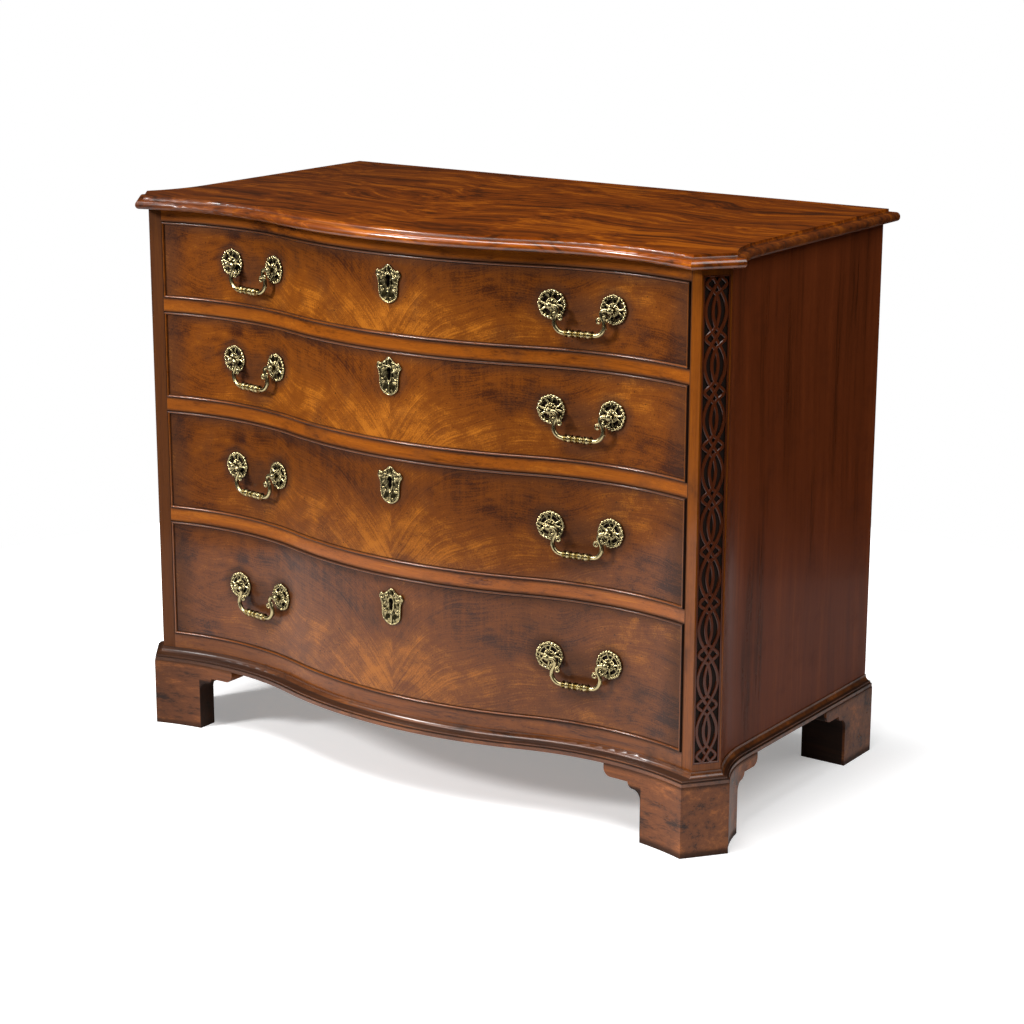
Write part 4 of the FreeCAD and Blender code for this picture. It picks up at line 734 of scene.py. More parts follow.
def forged_iron():
    """Dark iron of the locks with a little rust."""
    material, tree, shader, coordinates = new_material("forged_iron")
    rust = noise(tree, coordinates, 160.0, detail=6.0, roughness=0.7)
    patch = window(tree, rust, 0.45, 0.7)
    colour = mixed(tree, patch, DARK_IRON, BROWN_RUST)
    rough = maths(tree, "MULTIPLY_ADD", patch, 0.3, 0.4)
    feed(tree, shader, {"Base Color": colour, "Roughness": rough, "Metallic": 0.8,
                        "Normal": bump(tree, rust, strength=0.3, distance=0.4 * MM)})
    return material


def paint(material, *names):
    """Give CAD nodes a material in every slot they have."""
    for name in names:
        for slot in frame["nodes"][name].material_slots:
            slot.material = material


# Masks of painted shade and dirt: each maker returns a function of a node tree and object coordinates
def post_shade(form, fret):
    """A mask maker for the posts: painted shade on the sunk ground of the frets and beside the drawers."""
    run = math.hypot(form.cant_x, form.cant_y)
    side = (run - fret.width) / 2
    out_x, out_y = form.cant_y / run, -form.cant_x / run
    low, high = (corner[2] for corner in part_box("corner_frets"))
    beside_drawers = form.drawer_half - form.corner_half

    def mask(tree, coordinates):
        x, y, z = split(tree, coordinates)
        from_arris = maths(tree, "SUBTRACT", maths(tree, "ABSOLUTE", x), form.corner_half)
        behind = maths(tree, "SUBTRACT", y, form.corner_y)
        level = maths(tree, "MULTIPLY_ADD", from_arris, out_x, product(tree, behind, out_y))
        across = maths(tree, "MULTIPLY_ADD", from_arris, -out_y, product(tree, behind, out_x))
        sunk = product(
            tree, window(tree, level, -2.6 * MM, -1.2 * MM, 0.99, 0.0),
            window(tree, across, side - 0.6 * MM, side + 0.2 * MM),
            window(tree, across, run - side - 0.2 * MM, run - side + 0.6 * MM, 1.0, 0.0),
            window(tree, z, low - 0.5 * MM, low + 0.5 * MM),
            window(tree, z, high - 0.5 * MM, high + 0.5 * MM, 1.0, 0.0))
        beside = window(tree, from_arris, beside_drawers + 1.5 * MM, beside_drawers + 5 * MM, 0.8, 0.0)
        return strongest(tree, sunk, beside)

    return mask


def height_bands(*bands):
    """A mask maker for mouldings: dark in each (low, high, strength) band, with soft edges."""

    def mask(tree, coordinates):
        level = split(tree, coordinates)[2]
        dark = []
        for low, high, strength in bands:
            soft = 0.4 * (high - low)
            enter = window(tree, level, low - soft, low + soft)
            dark.append(product(tree, enter, window(tree, level, high - soft, high + soft, strength, 0.0)))
        return strongest(tree, *dark)

    return mask


def lines_at(levels, half, strength):
    """A mask maker for narrow dark lines at some heights."""
    return height_bands(*[(level - half, level + half, strength) for level in levels])


def foot_shade_and_dirt(top, inner, outer):
    """A mask maker for the feet: darker at the floor, under the moulding and on inner faces, painted shade
    with some dirt.
    """

    def mask(tree, coordinates):
        x, y, z = split(tree, coordinates)
        out = maths(tree, "ABSOLUTE", x)
        sole = window(tree, z, 4 * MM, 14 * MM, 0.8, 0.0)
        under = window(tree, z, top - 6 * MM, top, 0.0, 0.7)
        inside = product(tree, window(tree, out, inner, inner + 1.5 * MM, 0.93, 0.0),
                         window(tree, z, top - 27 * MM, top - 18 * MM, 1.0, 0.0))
        rear = product(tree, window(tree, out, outer - 5 * MM, outer - 3 * MM, 0.94, 0.0),
                       window(tree, y, 0.10, 0.11))
        return strongest(tree, sole, under, inside, rear)

    return mask


def joined(*makers):
    """A mask maker that takes the strongest of several."""

    def mask(tree, coordinates):
        return strongest(tree, *[maker(tree, coordinates) for maker in makers])

    return mask


def shade_to_left(far, near, strength):
    """A mask maker that darkens towards the left end: painted shade."""

    def mask(tree, coordinates):
        return window(tree, split(tree, coordinates)[0], far, near, strength, 0.0)

    return mask


def bead_shade(boxes):
    """A mask maker for the cock beads: painted shade along their outer sides, beside the gaps round the
    drawers.
    """
    beside = lines_at([corner[2] for box in boxes for corner in box], 1.3 * MM, 0.8)
    end = boxes[0][1][0]

    def mask(tree, coordinates):
        out = maths(tree, "ABSOLUTE", split(tree, coordinates)[0])
        ends = window(tree, out, end - 2.0 * MM, end - 1.2 * MM, 0.0, 0.95)
        return strongest(tree, beside(tree, coordinates), ends)

    return mask


def top_shade(form):
    """A mask maker for the top: painted shade in the quirk of its moulding, under it, and along the ends.
    """
    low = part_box("top_board")[0][2]
    quirk = height_bands((low + 13.2 * MM, low + 15.6 * MM, 0.65), (low - 1 * MM, low + 0.8 * MM, 0.7))
    side, behind_cant = form.corner_half, form.corner_y + form.cant_y

    def mask(tree, coordinates):
        x, y, _ = split(tree, coordinates)
        out = maths(tree, "ABSOLUTE", x)
        end = product(tree, window(tree, out, side + 3 * MM, side + 15 * MM, 0.0, 0.6),
                      window(tree, y, behind_cant + 7 * MM, behind_cant + 37 * MM))
        return strongest(tree, quirk(tree, coordinates), end)

    return mask


class CHEST_OT_finish_case(bpy.types.Operator):
    """Polish the top, the sides, the posts, the rails, the mouldings and the feet"""

    bl_idname = "chest.finish_case"
    bl_label = "Finish the case"

    def execute(self, context):
        wood, form, fret = settings().wood_finish, settings().form, settings().fret
        # The top's mask paints shade in its moulding's quirk, under it, along its ends and towards its left
        # end
        paint(timber("polished_top", "x", tones("top"), bands=2.3, streaks=2.2, coat=1.0, patches=0.5,
                     mask=joined(top_shade(form), shade_to_left(-0.55, 0.25, 0.62)), gloss=0.17, swirl=0.22),
              "top_board")
        paint(timber("side_boards", "z", tones("side"), bands=1.6, streaks=0.9, coat=0.05, patches=0.25),
              "side_right", "side_left")
        # The posts' mask paints shade on the sunk fret grounds, beside the drawers and on the left post
        paint(timber("corner_posts", "z", tones("rail", 0.65), bands=1.2, streaks=1.0, coat=0.25,
                     patches=0.5, mask=joined(post_shade(form, fret), shade_to_left(-0.481, -0.476, 0.6))),
              "corner_posts")

        # Painted shade: dark lines on the rails beside the gaps round the drawers, and darker towards the
        # left
        gaps = lines_at([corner[2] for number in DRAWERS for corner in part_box(f"drawer_{number}_front")],
                        3.5 * MM, 0.75)
        paint(timber("front_rails", "x", tones("rail"), bands=1.3, streaks=1.2, coat=0.4, patches=0.4,
                     mask=joined(gaps, shade_to_left(-0.45, -0.02, 0.2))), "top_rail", "drawer_rails")
        paint(timber("lower_rail", "x", tones("rail", 0.65), bands=1.4, streaks=1.4, coat=0.4, patches=0.7,
                     mask=joined(gaps, shade_to_left(-0.45, -0.02, 0.3))), "bottom_rail")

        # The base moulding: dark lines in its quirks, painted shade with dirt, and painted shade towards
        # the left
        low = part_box("base_moulding")[0][2]
        quirks = height_bands((low + 5.2 * MM, low + 6.6 * MM, 0.85), (low + 8.6 * MM, low + 10 * MM, 0.8))
        paint(timber("base_moulding", "x", tones("foot", 0.78), bands=1.4, streaks=1.4, coat=0.6,
                     patches=0.9, mask=joined(quirks, shade_to_left(-0.5, -0.05, 0.68)), gloss=0.22),
              "base_moulding")
        # The feet: darker at the floor, under the moulding, on inner faces and towards the left, painted
        # shade with some dirt
        marked = foot_shade_and_dirt(low, form.corner_half - 80.8 * MM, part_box("rear_feet")[1][0])
        paint(timber("bracket_feet", "x", tones("foot"), bands=1.5, streaks=1.6, coat=0.25, patches=0.65,
                     mask=joined(marked, shade_to_left(-0.55, -0.30, 0.60))), "front_feet", "rear_feet")

        lining = (wood.inner_dark, wood.inner_dark, wood.inner_light)
        inner = {"bands": 0.8, "streaks": 0.8, "coat": 0.0, "patches": 0.3}
        paint(timber("rough_boards", "x", lining, **inner), "bottom_board", "dust_boards", "drawer_stops")
        paint(timber("runners", "y", lining, **inner), "drawer_runners")
        foot, head = (corner[2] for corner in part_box("back_boards"))
        seams = lines_at(np.linspace(foot, head, BACK_BOARDS + 1)[1:-1].tolist(), 0.9 * MM, 0.9)
        stained = [tuple(np.array(tone) * BACK_STAIN) for tone in lining]
        paint(timber("back_boards", "x", stained, bands=1.2, streaks=1.3, coat=0.0, patches=0.5,
                     mask=seams), "back_boards")
        return {"FINISHED"}


class CHEST_OT_finish_drawers(bpy.types.Operator):
    """Veneer the drawer fronts and line the drawers"""

    bl_idname = "chest.finish_drawers"
    bl_label = "Finish the drawers"

    def execute(self, context):
        wood = settings().wood_finish
        lining = (wood.inner_dark, wood.inner_light, wood.inner_light)
        oak = {"bands": 0.7, "streaks": 0.8, "coat": 0.0, "patches": 0.3}
        sides = timber("drawer_sides", "y", lining, **oak)
        boards = timber("drawer_boards", "x", lining, **oak)
        iron = forged_iron()
        for number in DRAWERS:
            # Each front's mask paints shade and dirt round its brasses and along its edges
            paint(veneer(number, brass_shade_and_dirt(number)), f"drawer_{number}_front")
            paint(sides, f"drawer_{number}_sides")
            paint(boards, f"drawer_{number}_back", f"drawer_{number}_bottom")
            paint(iron, f"drawer_{number}_lock_case", f"drawer_{number}_lock_bolt")
        return {"FINISHED"}


def brass_shade_and_dirt(number):
    """The (place, radius, strength) of the painted shade and dirt round a front's rosettes, bails and
    keyhole; the dark behind the pierced brasses and under the bails is painted shade.
    """
    form, brass = settings().form, settings().brass
    spots = []
    for side in (1, -1):
        height = pivot(number, side)[2]
        for lean in (1, -1):
            place = hollow_spot(form, brass, side, lean, height)[1]
            spots += [(place, 0.75 * brass.rosette, 0.95), (place, 1.35 * brass.rosette, 0.5)]
        under_bail = hollow_spot(form, brass, side, 0, height - 0.7 * brass.drop)[1]
        spots.append((under_bail, 40 * MM, 0.42))
    low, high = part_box(f"drawer_{number}_escutcheon")
    middle = np.array((low + high) / 2)
    return spots + [(middle + np.array((0, 0, 3 * MM)), 11 * MM, 0.99), (middle, 30 * MM, 0.35)]


# Cock beads
def bead_profile(form):
    """A strip with a half-round nose: flat sides up to the nose's centre, then half a circle."""
    radius, root = form.bead_thick / 2, -6 * MM
    nose = np.linspace(-math.pi / 2, math.pi / 2, 9)
    proud = form.bead_proud - radius + radius * np.cos(nose)
    round_nose = np.stack((radius * np.sin(nose), proud), axis=-1)
    return np.concatenate([[(-radius, root)], round_nose, [(radius, root)]])


def bead_strips(form, number):
    """The four beads of a drawer: two follow the front's curve and two stand at its ends."""
    low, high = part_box(f"drawer_{number}_front")
    radius = form.bead_thick / 2
    profile = bead_profile(form)
    x = np.linspace(-form.drawer_half, form.drawer_half, 97)
    plan, out = front_curve(form, x)
    level = np.zeros(len(x))
    strips = []
    for height in (low[2] + radius, high[2] - radius):
        path = np.column_stack((plan, level + height))
        strips.append(swept(path, profile, np.column_stack((out, level))))
    rise = np.linspace(low[2] + radius, high[2] - radius, 5)
    for side in (-1, 1):
        foot, ahead = front_curve(form, np.array([side * (form.drawer_half - radius)]))
        path = np.column_stack((np.repeat(foot, len(rise), axis=0), rise))
        strips.append(swept(path, profile, np.array((*ahead[0], 0.0))))
    return strips


class CHEST_OT_lay_beads(bpy.types.Operator):
    """Lay the half-round cock beads round the drawer fronts"""

    bl_idname = "chest.lay_beads"
    bl_label = "Lay the cock beads"

    def execute(self, context):
        boxes = [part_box(f"drawer_{number}_cock_bead") for number in DRAWERS]
        # The beads' mask paints shade along their outer sides
        material = timber("cock_beads", "x", tones("rail", 0.62), bands=0.8, streaks=0.9, coat=0.9,
                          patches=0.5, mask=bead_shade(boxes), gloss=0.14)
        for number in DRAWERS:
            strips = bead_strips(settings().form, number)
            name, body = f"drawer_{number}_beads", f"drawer_{number}"
            piece = make_piece(name, strips, material, body, crease=50.0)
            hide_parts(f"drawer_{number}_cock_bead")
        return {"FINISHED"}


# Frets
def cant_spot(form, side):
    """The turn and place of a cant's middle, its own X along the cant and -Y out of it."""
    run = np.array((form.cant_x, form.cant_y)) / math.hypot(form.cant_x, form.cant_y)
    turn = np.array(((side * run[0], -run[1] * side, 0), (run[1], run[0], 0), (0, 0, 1)))
    x = side * (form.corner_half + form.cant_x / 2)
    return turn, np.array((x, form.corner_y + form.cant_y / 2, 0.0))


def fret_strands(fret):
    """The interlaced strands of one fret and its border, on the plane of its own X and Z.

    The outer strands are x = +-a sin(pi z / p). The inner ones leave the border at each
    crossing, cross the middle at a share s of the bay and swell to a narrow lens:
    x = b (1 - u / s) up to s, then x = -c sin(pi (u - s) / (1 - 2 s)), rounded at the joint.
    All of them run on past the first and last crossings by the tail.
    """
    low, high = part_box("corner_frets")
    bottom, top = low[2], high[2]
    pitch = (top - bottom - 2 * fret.tail) / fret.bays
    half = fret.width / 2 - fret.border
    swing, lens, share = half - fret.strand / 2, 4.7 * MM, 0.185
    samples, smooth = 48, 11
    z = np.linspace(1 * MM, top - bottom - 1 * MM, fret.bays * samples + 1)
    bay = (z - fret.tail) / pitch
    u = np.abs(bay - np.round(bay))
    diagonal = half * (1 - u / share)
    leaf = -lens * np.sin(math.pi * (u - share) / (1 - 2 * share))
    inner = np.pad(np.where(u < share, diagonal, leaf), smooth // 2, mode="reflect")
    inner = np.convolve(inner, smoothing(smooth), mode="valid")
    outer = swing * np.sin(math.pi * bay)
    weave = 0.35 * MM * np.cos(math.pi * bay)
    sunk = fret.thick / 2
    profile = chamfered_bar(fret.strand, fret.thick, 0.8 * MM)
    strands = []
    for across, lift in ((outer, weave), (-outer, -weave), (inner, -0.2 * MM), (-inner, -0.25 * MM)):
        depth = sunk - lift + 0.3 * MM + np.zeros(len(z))
        strands.append(swept(np.column_stack((across, depth, bottom + z)), profile, OUT))
    edge = chamfered_bar(fret.border, fret.thick, 0.4 * MM)
    side, end = (fret.width - fret.border) / 2, fret.width / 2
    foot, head = bottom + fret.border / 2, top - fret.border / 2
    for start, finish in (((-side, bottom), (-side, top)), ((side, bottom), (side, top)),
                          ((-end, foot), (end, foot)), ((-end, head), (end, head))):
        strip = np.linspace((start[0], sunk, start[1]), (finish[0], sunk, finish[1]), 3)
        strands.append(swept(strip, edge, OUT))
    return strands


class CHEST_OT_carve_fret(bpy.types.Operator):
    """Carve the blind fret of both cants"""

    bl_idname = "chest.carve_fret"
    bl_label = "Carve the frets"

    def execute(self, context):
        form, strands = settings().form, fret_strands(settings().fret)
        material = timber("carved_fret", "z", tones("side", 0.75), bands=0.9, streaks=0.9, coat=0.4,
                          patches=0.3, gloss=0.14)
        surfaces = [strand.moved(*cant_spot(form, side)) for side in (1, -1) for strand in strands]
        piece = make_piece("blind_frets", surfaces, material, "carcass", crease=24.0)
        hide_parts("corner_frets")
        return {"FINISHED"}


# Brasses
def arc(centre, radius, start, end, count):
    """Points of an arc in the plane of X and Z, its angles in degrees, without the last one."""
    turn = np.radians(np.linspace(start, end, count, endpoint=False))
    return in_plane(centre[0] + radius * np.cos(turn), centre[1] + radius * np.sin(turn))


def tapered(path, start, end, height=0.0, sides=8):
    """A round strand that thins along its path, rounds off at its ends and stands off the wood."""
    share = np.linspace(0, 1, len(path))
    ends = np.minimum(1, 6 * np.minimum(share + 0.02, 1.02 - share)) ** 0.5
    return swept(path + OUT * height, circle(1.0, sides), OUT, (start + (end - start) * share) * ends)


def scroll(centre, radius, start, turns, start_width, end_width, height, count=26):
    """A C-scroll: a spiral whose radius falls as 1 - 0.62 s along its length s."""
    share = np.linspace(0, 1, count)
    turn = np.radians(start) + 2 * math.pi * turns * share
    reach = radius * (1 - 0.62 * share)
    path = in_plane(centre[0] + reach * np.cos(turn), centre[1] + reach * np.sin(turn))
    return tapered(path, start_width, end_width, height)


def bead(place, radius):
    """A small round bead."""
    turn = np.linspace(0, math.pi, 6)
    stations = np.stack((-radius * np.cos(turn), radius * np.sin(turn)), axis=-1)
    return turned(stations, 8).moved(np.eye(3), np.array(place))


# Height out of the wood and radius of a rosette's boss, in millimetres
BOSS = ((0.6, 6.2), (2.2, 6.4), (3.4, 5.4), (4.6, 4.0), (7.2, 3.5), (9.2, 4.1), (10.8, 5.3), (12.8, 5.8),
        (14.8, 5.4), (16.4, 3.9), (17.4, 2.1), (17.9, 0.0))


def rosette(brass):
    """A pierced rosette: a corded rim, two rings, eight spokes with leaves and beads, thorns and a boss.

    The rim is r = R (0.89 + 0.018 cos(8 a)) with a cord of 1 + 0.22 cos(24 a), and the
    spokes are a = a0 + 0.14 sin(3.6 s) for s from 0.3 to 0.86 of R.
    """
    radius, spokes = brass.rosette, 8
    first_spoke, to_bead = math.radians(12), 0.39

    def ray(angle, share):
        """Points at an angle and at shares of the radius."""
        return radius * in_plane(share * np.cos(angle), share * np.sin(angle))

    turn = whole_turn(144)
    cord = 1 + 0.22 * np.cos(24 * turn)
    rim = ray(turn, 0.89 + 0.018 * np.cos(spokes * turn)) + OUT * 2.2 * MM
    surfaces = [swept(rim, circle(1.9 * MM, 8), OUT, cord, closed=True),
                swept(ray(turn, 0.70) + OUT * 1.8 * MM, circle(1.1 * MM, 6), OUT, closed=True),
                swept(ray(turn, 0.37) + OUT * 2.4 * MM, circle(1.5 * MM, 8), OUT, cord, closed=True)]
    share = np.linspace(0.30, 0.86, 16)
    for index in range(spokes):
        angle = first_spoke + 2 * math.pi * index / spokes
        bend = (0.14 if index % 2 else -0.14) * np.sin(3.6 * share)
        surfaces.append(tapered(ray(angle + bend, share), 1.7 * MM, 1.6 * MM, 2.0 * MM))
        surfaces.append(tapered(ray(angle, np.linspace(0.20, 0.44, 8)), 2.2 * MM, 0.8 * MM, 3.2 * MM))
        surfaces.append(bead(ray(angle + to_bead, 0.80) + OUT * 2.6 * MM, 1.5 * MM))
    for angle in np.radians((-118, -62, 20)):
        surfaces.append(tapered(ray(angle, np.linspace(0.9, 0.995, 6)), 1.4 * MM, 0.7 * MM, 2.6 * MM))
    surfaces.append(turned(eased(BOSS, 36) * MM, 24, spokes, 0.08))
    return surfaces


def post_tail(brass):
    """The post's thread and its round nut on the inside of the front."""
    inside = brass.front_thick / MM
    nut = ((0.1, 0.0), (0.1, 6.6), (0.5, 7.0), (2.7, 7.0), (3.1, 6.6), (3.1, 3.0))
    thread = ((3.1, 3.0), (5.6, 3.0), (6.0, 2.6), (6.0, 0.0))
    return [turned([(-(inside + depth) * MM, radius * MM) for depth, radius in stations], sides)
            for stations, sides in ((nut, 20), (thread, 14))]


class CHEST_OT_fit_rosettes(bpy.types.Operator):
    """Fit the pierced rosettes, their posts and the nuts behind"""

    bl_idname = "chest.fit_rosettes"
    bl_label = "Fit the rosettes"

    def execute(self, context):
        form, brass = settings().form, settings().brass
        shapes, tails = rosette(brass), post_tail(brass)
        for number in DRAWERS:
            surfaces = []
            for side, lean in ((1, 1), (1, -1), (-1, 1), (-1, -1)):
                turn, place = hollow_spot(form, brass, side, lean, pivot(number, side)[2])
                mirror = np.diag((float(lean * side), 1.0, 1.0))
                surfaces += [shape.moved(turn @ mirror, place) for shape in shapes]
                surfaces += [tail.moved(turn, place) for tail in tails]
            name, body = f"drawer_{number}_rosettes", f"drawer_{number}"
            piece = make_piece(name, surfaces, old_brass(), body, crease=60.0)
            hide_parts(f"drawer_{number}_handle_mounts")
        return {"FINISHED"}


def swing_joint(number, side):
    """The hinge of one bail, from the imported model."""
    name = f"drawer_{number}_bail_{'right' if side > 0 else 'left'}_swing"
    return next(joint for joint in frame["joints"] if joint["name"] == name)


def pivot(number, side):
    """The middle of one bail's hinge line."""
    return np.array(swing_joint(number, side)["pos_m"])


# Distance from a bail's middle, width and rise of each bell on its bar, in millimetres
BELLS = ((21.6, 0.5, 2.2), (19.6, 0.55, 3.2), (14.4, 2.8, 2.7), (9.9, 0.5, 3.1), (8.2, 0.45, 2.0),
         (4.4, 1.9, 2.2), (1.3, 0.55, 3.1))


def bail_half(brass):
    """Half a bail's centre line from the pin to the middle of the bar, and the rod's radius along it.

    A pin on X, a quarter turn down, a swan curve back under the rosette, a loop, and the
    bar; the bar's radius adds bell curves for the collars, the vases and the rings.
    """
    pin_end, neck_x = brass.span / 2 + 5.8 * MM, brass.span / 2 - 8.0 * MM
    neck, swan, sweep = 5.0 * MM, 14.0 * MM, 35.0
    lean = math.radians(sweep)
    swan_x = neck_x - neck + swan
    swan_end = (swan_x - swan * math.cos(lean), -neck - swan * math.sin(lean))
    loop = (brass.drop + swan_end[1]) / (1 + math.sin(lean))
    loop_centre = (swan_end[0] - loop * math.cos(lean), loop - brass.drop)
    pin = np.linspace(pin_end, neck_x, 8, endpoint=False)
    bar = np.linspace(loop_centre[0], 0, 90)
    path = np.concatenate([
        in_plane(pin, 0 * pin), arc((neck_x, -neck), neck, 90, 180, 12),
        arc((swan_x, -neck), swan, 180, 180 + sweep, 14), arc(loop_centre, loop, sweep, -90, 36),
        in_plane(bar, 0 * bar - brass.drop)])
    on_bar = path[:, 2] < -brass.drop + 1e-6
    middle_of_loop, spread = 55, 14.0
    swell = 0.35 * np.exp(-((np.arange(len(path)) - middle_of_loop) / spread) ** 2)
    place, width, rise = np.array(BELLS).T[:, :, None]
    bells = (rise * np.exp(-((np.abs(path[:, 0]) / MM - place) / width) ** 2)).sum(axis=0)
    return path, brass.rod + np.where(on_bar, bells, swell) * MM


def bail(brass):
    """One bail about its own pivot line: the rod, the leaf scrolls on its necks and their thorns."""
    half, radius = bail_half(brass)
    path = np.concatenate([half, half[-2::-1] * np.array((-1.0, 1.0, 1.0))])
    scale = np.concatenate([radius, radius[-2::-1]])
    surfaces = [swept(path, circle(1.0, 16), OUT, scale)]
    edge = brass.span / 2 / MM
    for side in (1, -1):
        inward = (side * (edge - 16.4) * MM, -16.0 * MM)
        outward = (side * (edge - 8.0) * MM, -12.0 * MM)
        start = 20 if side > 0 else 160
        surfaces.append(scroll(inward, 4.3 * MM, start, side * 1.3, 1.7 * MM, 1.0 * MM, 0.4 * MM))
        surfaces.append(scroll(outward, 3.2 * MM, 180 - start, -side * 1.1, 1.4 * MM, 0.8 * MM, 0.6 * MM))
        thorn = np.linspace((side * (edge - 9.0), 0, -24.0), (side * (edge - 4.0), 0, -27.0), 6) * MM
        surfaces.append(tapered(thorn, 1.5 * MM, 0.5 * MM))
    least_rubbed = 0.42
    for surface in surfaces:
        surface.relief = np.maximum(surface.relief, least_rubbed)
    return surfaces


class CHEST_OT_hang_bails(bpy.types.Operator):
    """Hang the swan-neck bails on their posts"""

    bl_idname = "chest.hang_bails"
    bl_label = "Hang the bails"

    def execute(self, context):
        shapes = bail(settings().brass)
        up = np.array((0.0, 0.0, 1.0))
        for number in DRAWERS:
            for side, word in ((1, "right"), (-1, "left")):
                along_x = -unit(np.array(swing_joint(number, side)["axis"], dtype=float))
                turn = np.column_stack((along_x, np.cross(up, along_x), up))
                surfaces = [shape.moved(turn, pivot(number, side)) for shape in shapes]
                body = f"drawer_{number}_bail_{word}"
                piece = make_piece(f"{body}_swan_neck", surfaces, old_brass(), body, crease=60.0)
                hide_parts(body)
        return {"FINISHED"}


# Height from a keyhole plate's middle and half width there, in millimetres
PLATE_EDGE = ((28.8, 0.0), (27.2, 3.6), (24.6, 6.0), (21.2, 9.4), (18.8, 14.4), (16.8, 20.4), (13.8, 23.4),
              (10.2, 21.4), (7.6, 17.8), (0.0, 17.3), (-8.0, 17.2), (-15.0, 17.0), (-19.6, 15.8),
              (-23.6, 12.4), (-26.6, 8.0), (-28.4, 3.6), (-29.0, 0.0))
# Place, radius, first angle, turns, widths and height of the scrolls on a plate's right half
PLATE_SCROLLS = (((16.0, 15.0), 4.6, 90, -1.3, 1.6, 0.9, 2.4), ((9.0, 18.0), 3.6, 90, 1.2, 1.5, 0.8, 2.4),
                 ((11.8, -7.0), 3.2, -90, 1.2, 1.3, 0.7, 2.0))
# Both ends of the arms on a plate's right half
PLATE_ARMS = (((7.5, 11.0), (15.0, 9.0)), ((6.8, -8.5), (14.0, -12.0)), ((3.0, -20.0), (7.0, -24.0)))


def plate_edge(count, shrink=0.0):
    """The closed edge of a keyhole plate, rounded between its corners and drawn in evenly."""
    height, half = np.array(PLATE_EDGE).T
    right = np.stack((half, height), axis=-1)
    closed = np.concatenate([right, right[-2:0:-1] * (-1, 1), right[:1]])
    steps = np.concatenate([[0], np.cumsum(np.linalg.norm(np.diff(closed, axis=0), axis=1))])
    places = np.linspace(0, steps[-1], count, endpoint=False)
    edge = np.stack([np.interp(places, steps, column) for column in closed.T], axis=-1)
    padded = np.concatenate([edge[-4:], edge, edge[:4]])
    edge = np.stack([np.convolve(column, smoothing(9), mode="valid") for column in padded.T], axis=-1)
    ahead = unit(np.roll(edge, -1, axis=0) - np.roll(edge, 1, axis=0))
    inward = np.stack((ahead[:, 1], -ahead[:, 0]), axis=-1)
    return in_plane(*(edge + shrink * inward).T) * MM


def keyhole_edge(count, grow):
    """A closed line round the keyhole: a circle with a straight slot under it, grown outwards."""
    hole, slot_half, slot_drop, centre = 3.5 + grow, 2.6 + grow, 11.5, 9.0
    sine, cosine = np.sin(whole_turn(count)), np.cos(whole_turn(count))
    narrow = np.sign(sine) * np.minimum(np.abs(hole * sine), slot_half)
    x = np.where(cosine < -0.2, narrow, hole * sine)
    return in_plane(x, centre + hole * cosine - slot_drop * np.clip(-cosine, 0, 1)) * MM


def pierced_hole(place):
    """A small dark disc that stands for a hole through a keyhole plate: its darkness is painted shade."""
    disc = turned(np.array(((2.4, 3.8), (2.6, 3.2), (2.6, 0.0))) * MM, 14).moved(np.eye(3), place)
    disc.relief = np.full(disc.relief.shape, -0.5)
    return disc


def escutcheon():
    """A keyhole plate: a leafy field, a beaded edge, a lip round the keyhole, scrolls and a crest.

    The field runs from the keyhole to the edge, and its leaves rise as sin(9 a) sin(2 pi s)
    round the angle a and along the share s of the way out.
    """
    count, rows = 180, 13
    rim = swept(plate_edge(count, 1.3) + OUT * 1.5 * MM, circle(1.3 * MM, 8), OUT, closed=True)
    lip = swept(keyhole_edge(count, 1.9) + OUT * 2.0 * MM, circle(1.4 * MM, 8), OUT, closed=True)
    share, angle = np.linspace(0, 1, rows)[:, None], whole_turn(count)[None]
    leaves = np.sin(9 * angle) * np.sin(2 * math.pi * share) + 0.4 * np.sin(23 * angle + 9 * share)
    out = share[:, :, None]
    field = keyhole_edge(count, 0.0)[None] * (1 - out) + plate_edge(count, 0.8)[None] * out
    field = field + OUT * (1.2 + 0.45 * leaves)[:, :, None] * MM
    surfaces = [rim, lip, Surface(field, wrap_columns=True, relief=0.62 + 0.28 * leaves)]
    drawn_in = np.array((0.965, 1.0, 0.975))
    surfaces += [bead(place * drawn_in + OUT * 2.0 * MM, 1.3 * MM) for place in plate_edge(50)[6:45]]
    for side in (1, -1):
        surfaces.append(pierced_hole(np.array((side * 6.6, 0.0, -15.5)) * MM))
        for (x, z), radius, start, turns, *widths_and_height in PLATE_SCROLLS:
            sizes = [size * MM for size in widths_and_height]
            surfaces.append(scroll((side * x * MM, z * MM), radius * MM, start, side * turns, *sizes))
        for (x, z), (end_x, end_z) in PLATE_ARMS:
            arm = np.linspace((side * x, 0, z), (side * end_x, 0, end_z), 10) * MM
            surfaces.append(tapered(arm, 1.6 * MM, 1.1 * MM, 1.8 * MM))
    crest = np.linspace((0, 0, 16.0), (0, 0, 26.8), 12) * MM
    surfaces.append(tapered(crest, 3.0 * MM, 1.4 * MM, 1.9 * MM))
    pendant = np.linspace((0, 0, -10.0), (0, 0, -26.8), 12) * MM
    surfaces.append(tapered(pendant, 1.9 * MM, 1.3 * MM, 1.9 * MM))
    return surfaces


class CHEST_OT_fit_escutcheons(bpy.types.Operator):
    """Fit the pierced keyhole plates"""

    bl_idname = "chest.fit_escutcheons"
    bl_label = "Fit the keyhole plates"

    def execute(self, context):
        form, shapes = settings().form, escutcheon()
        for number in DRAWERS:
            low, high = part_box(f"drawer_{number}_escutcheon")
            place = np.array((0.0, form.corner_y - form.bow, (low[2] + high[2]) / 2))
            surfaces = [shape.moved(np.eye(3), place) for shape in shapes]
            name, body = f"drawer_{number}_keyhole_plate", f"drawer_{number}"
            piece = make_piece(name, surfaces, old_brass(), body, crease=60.0)
            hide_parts(f"drawer_{number}_escutcheon")
        return {"FINISHED"}


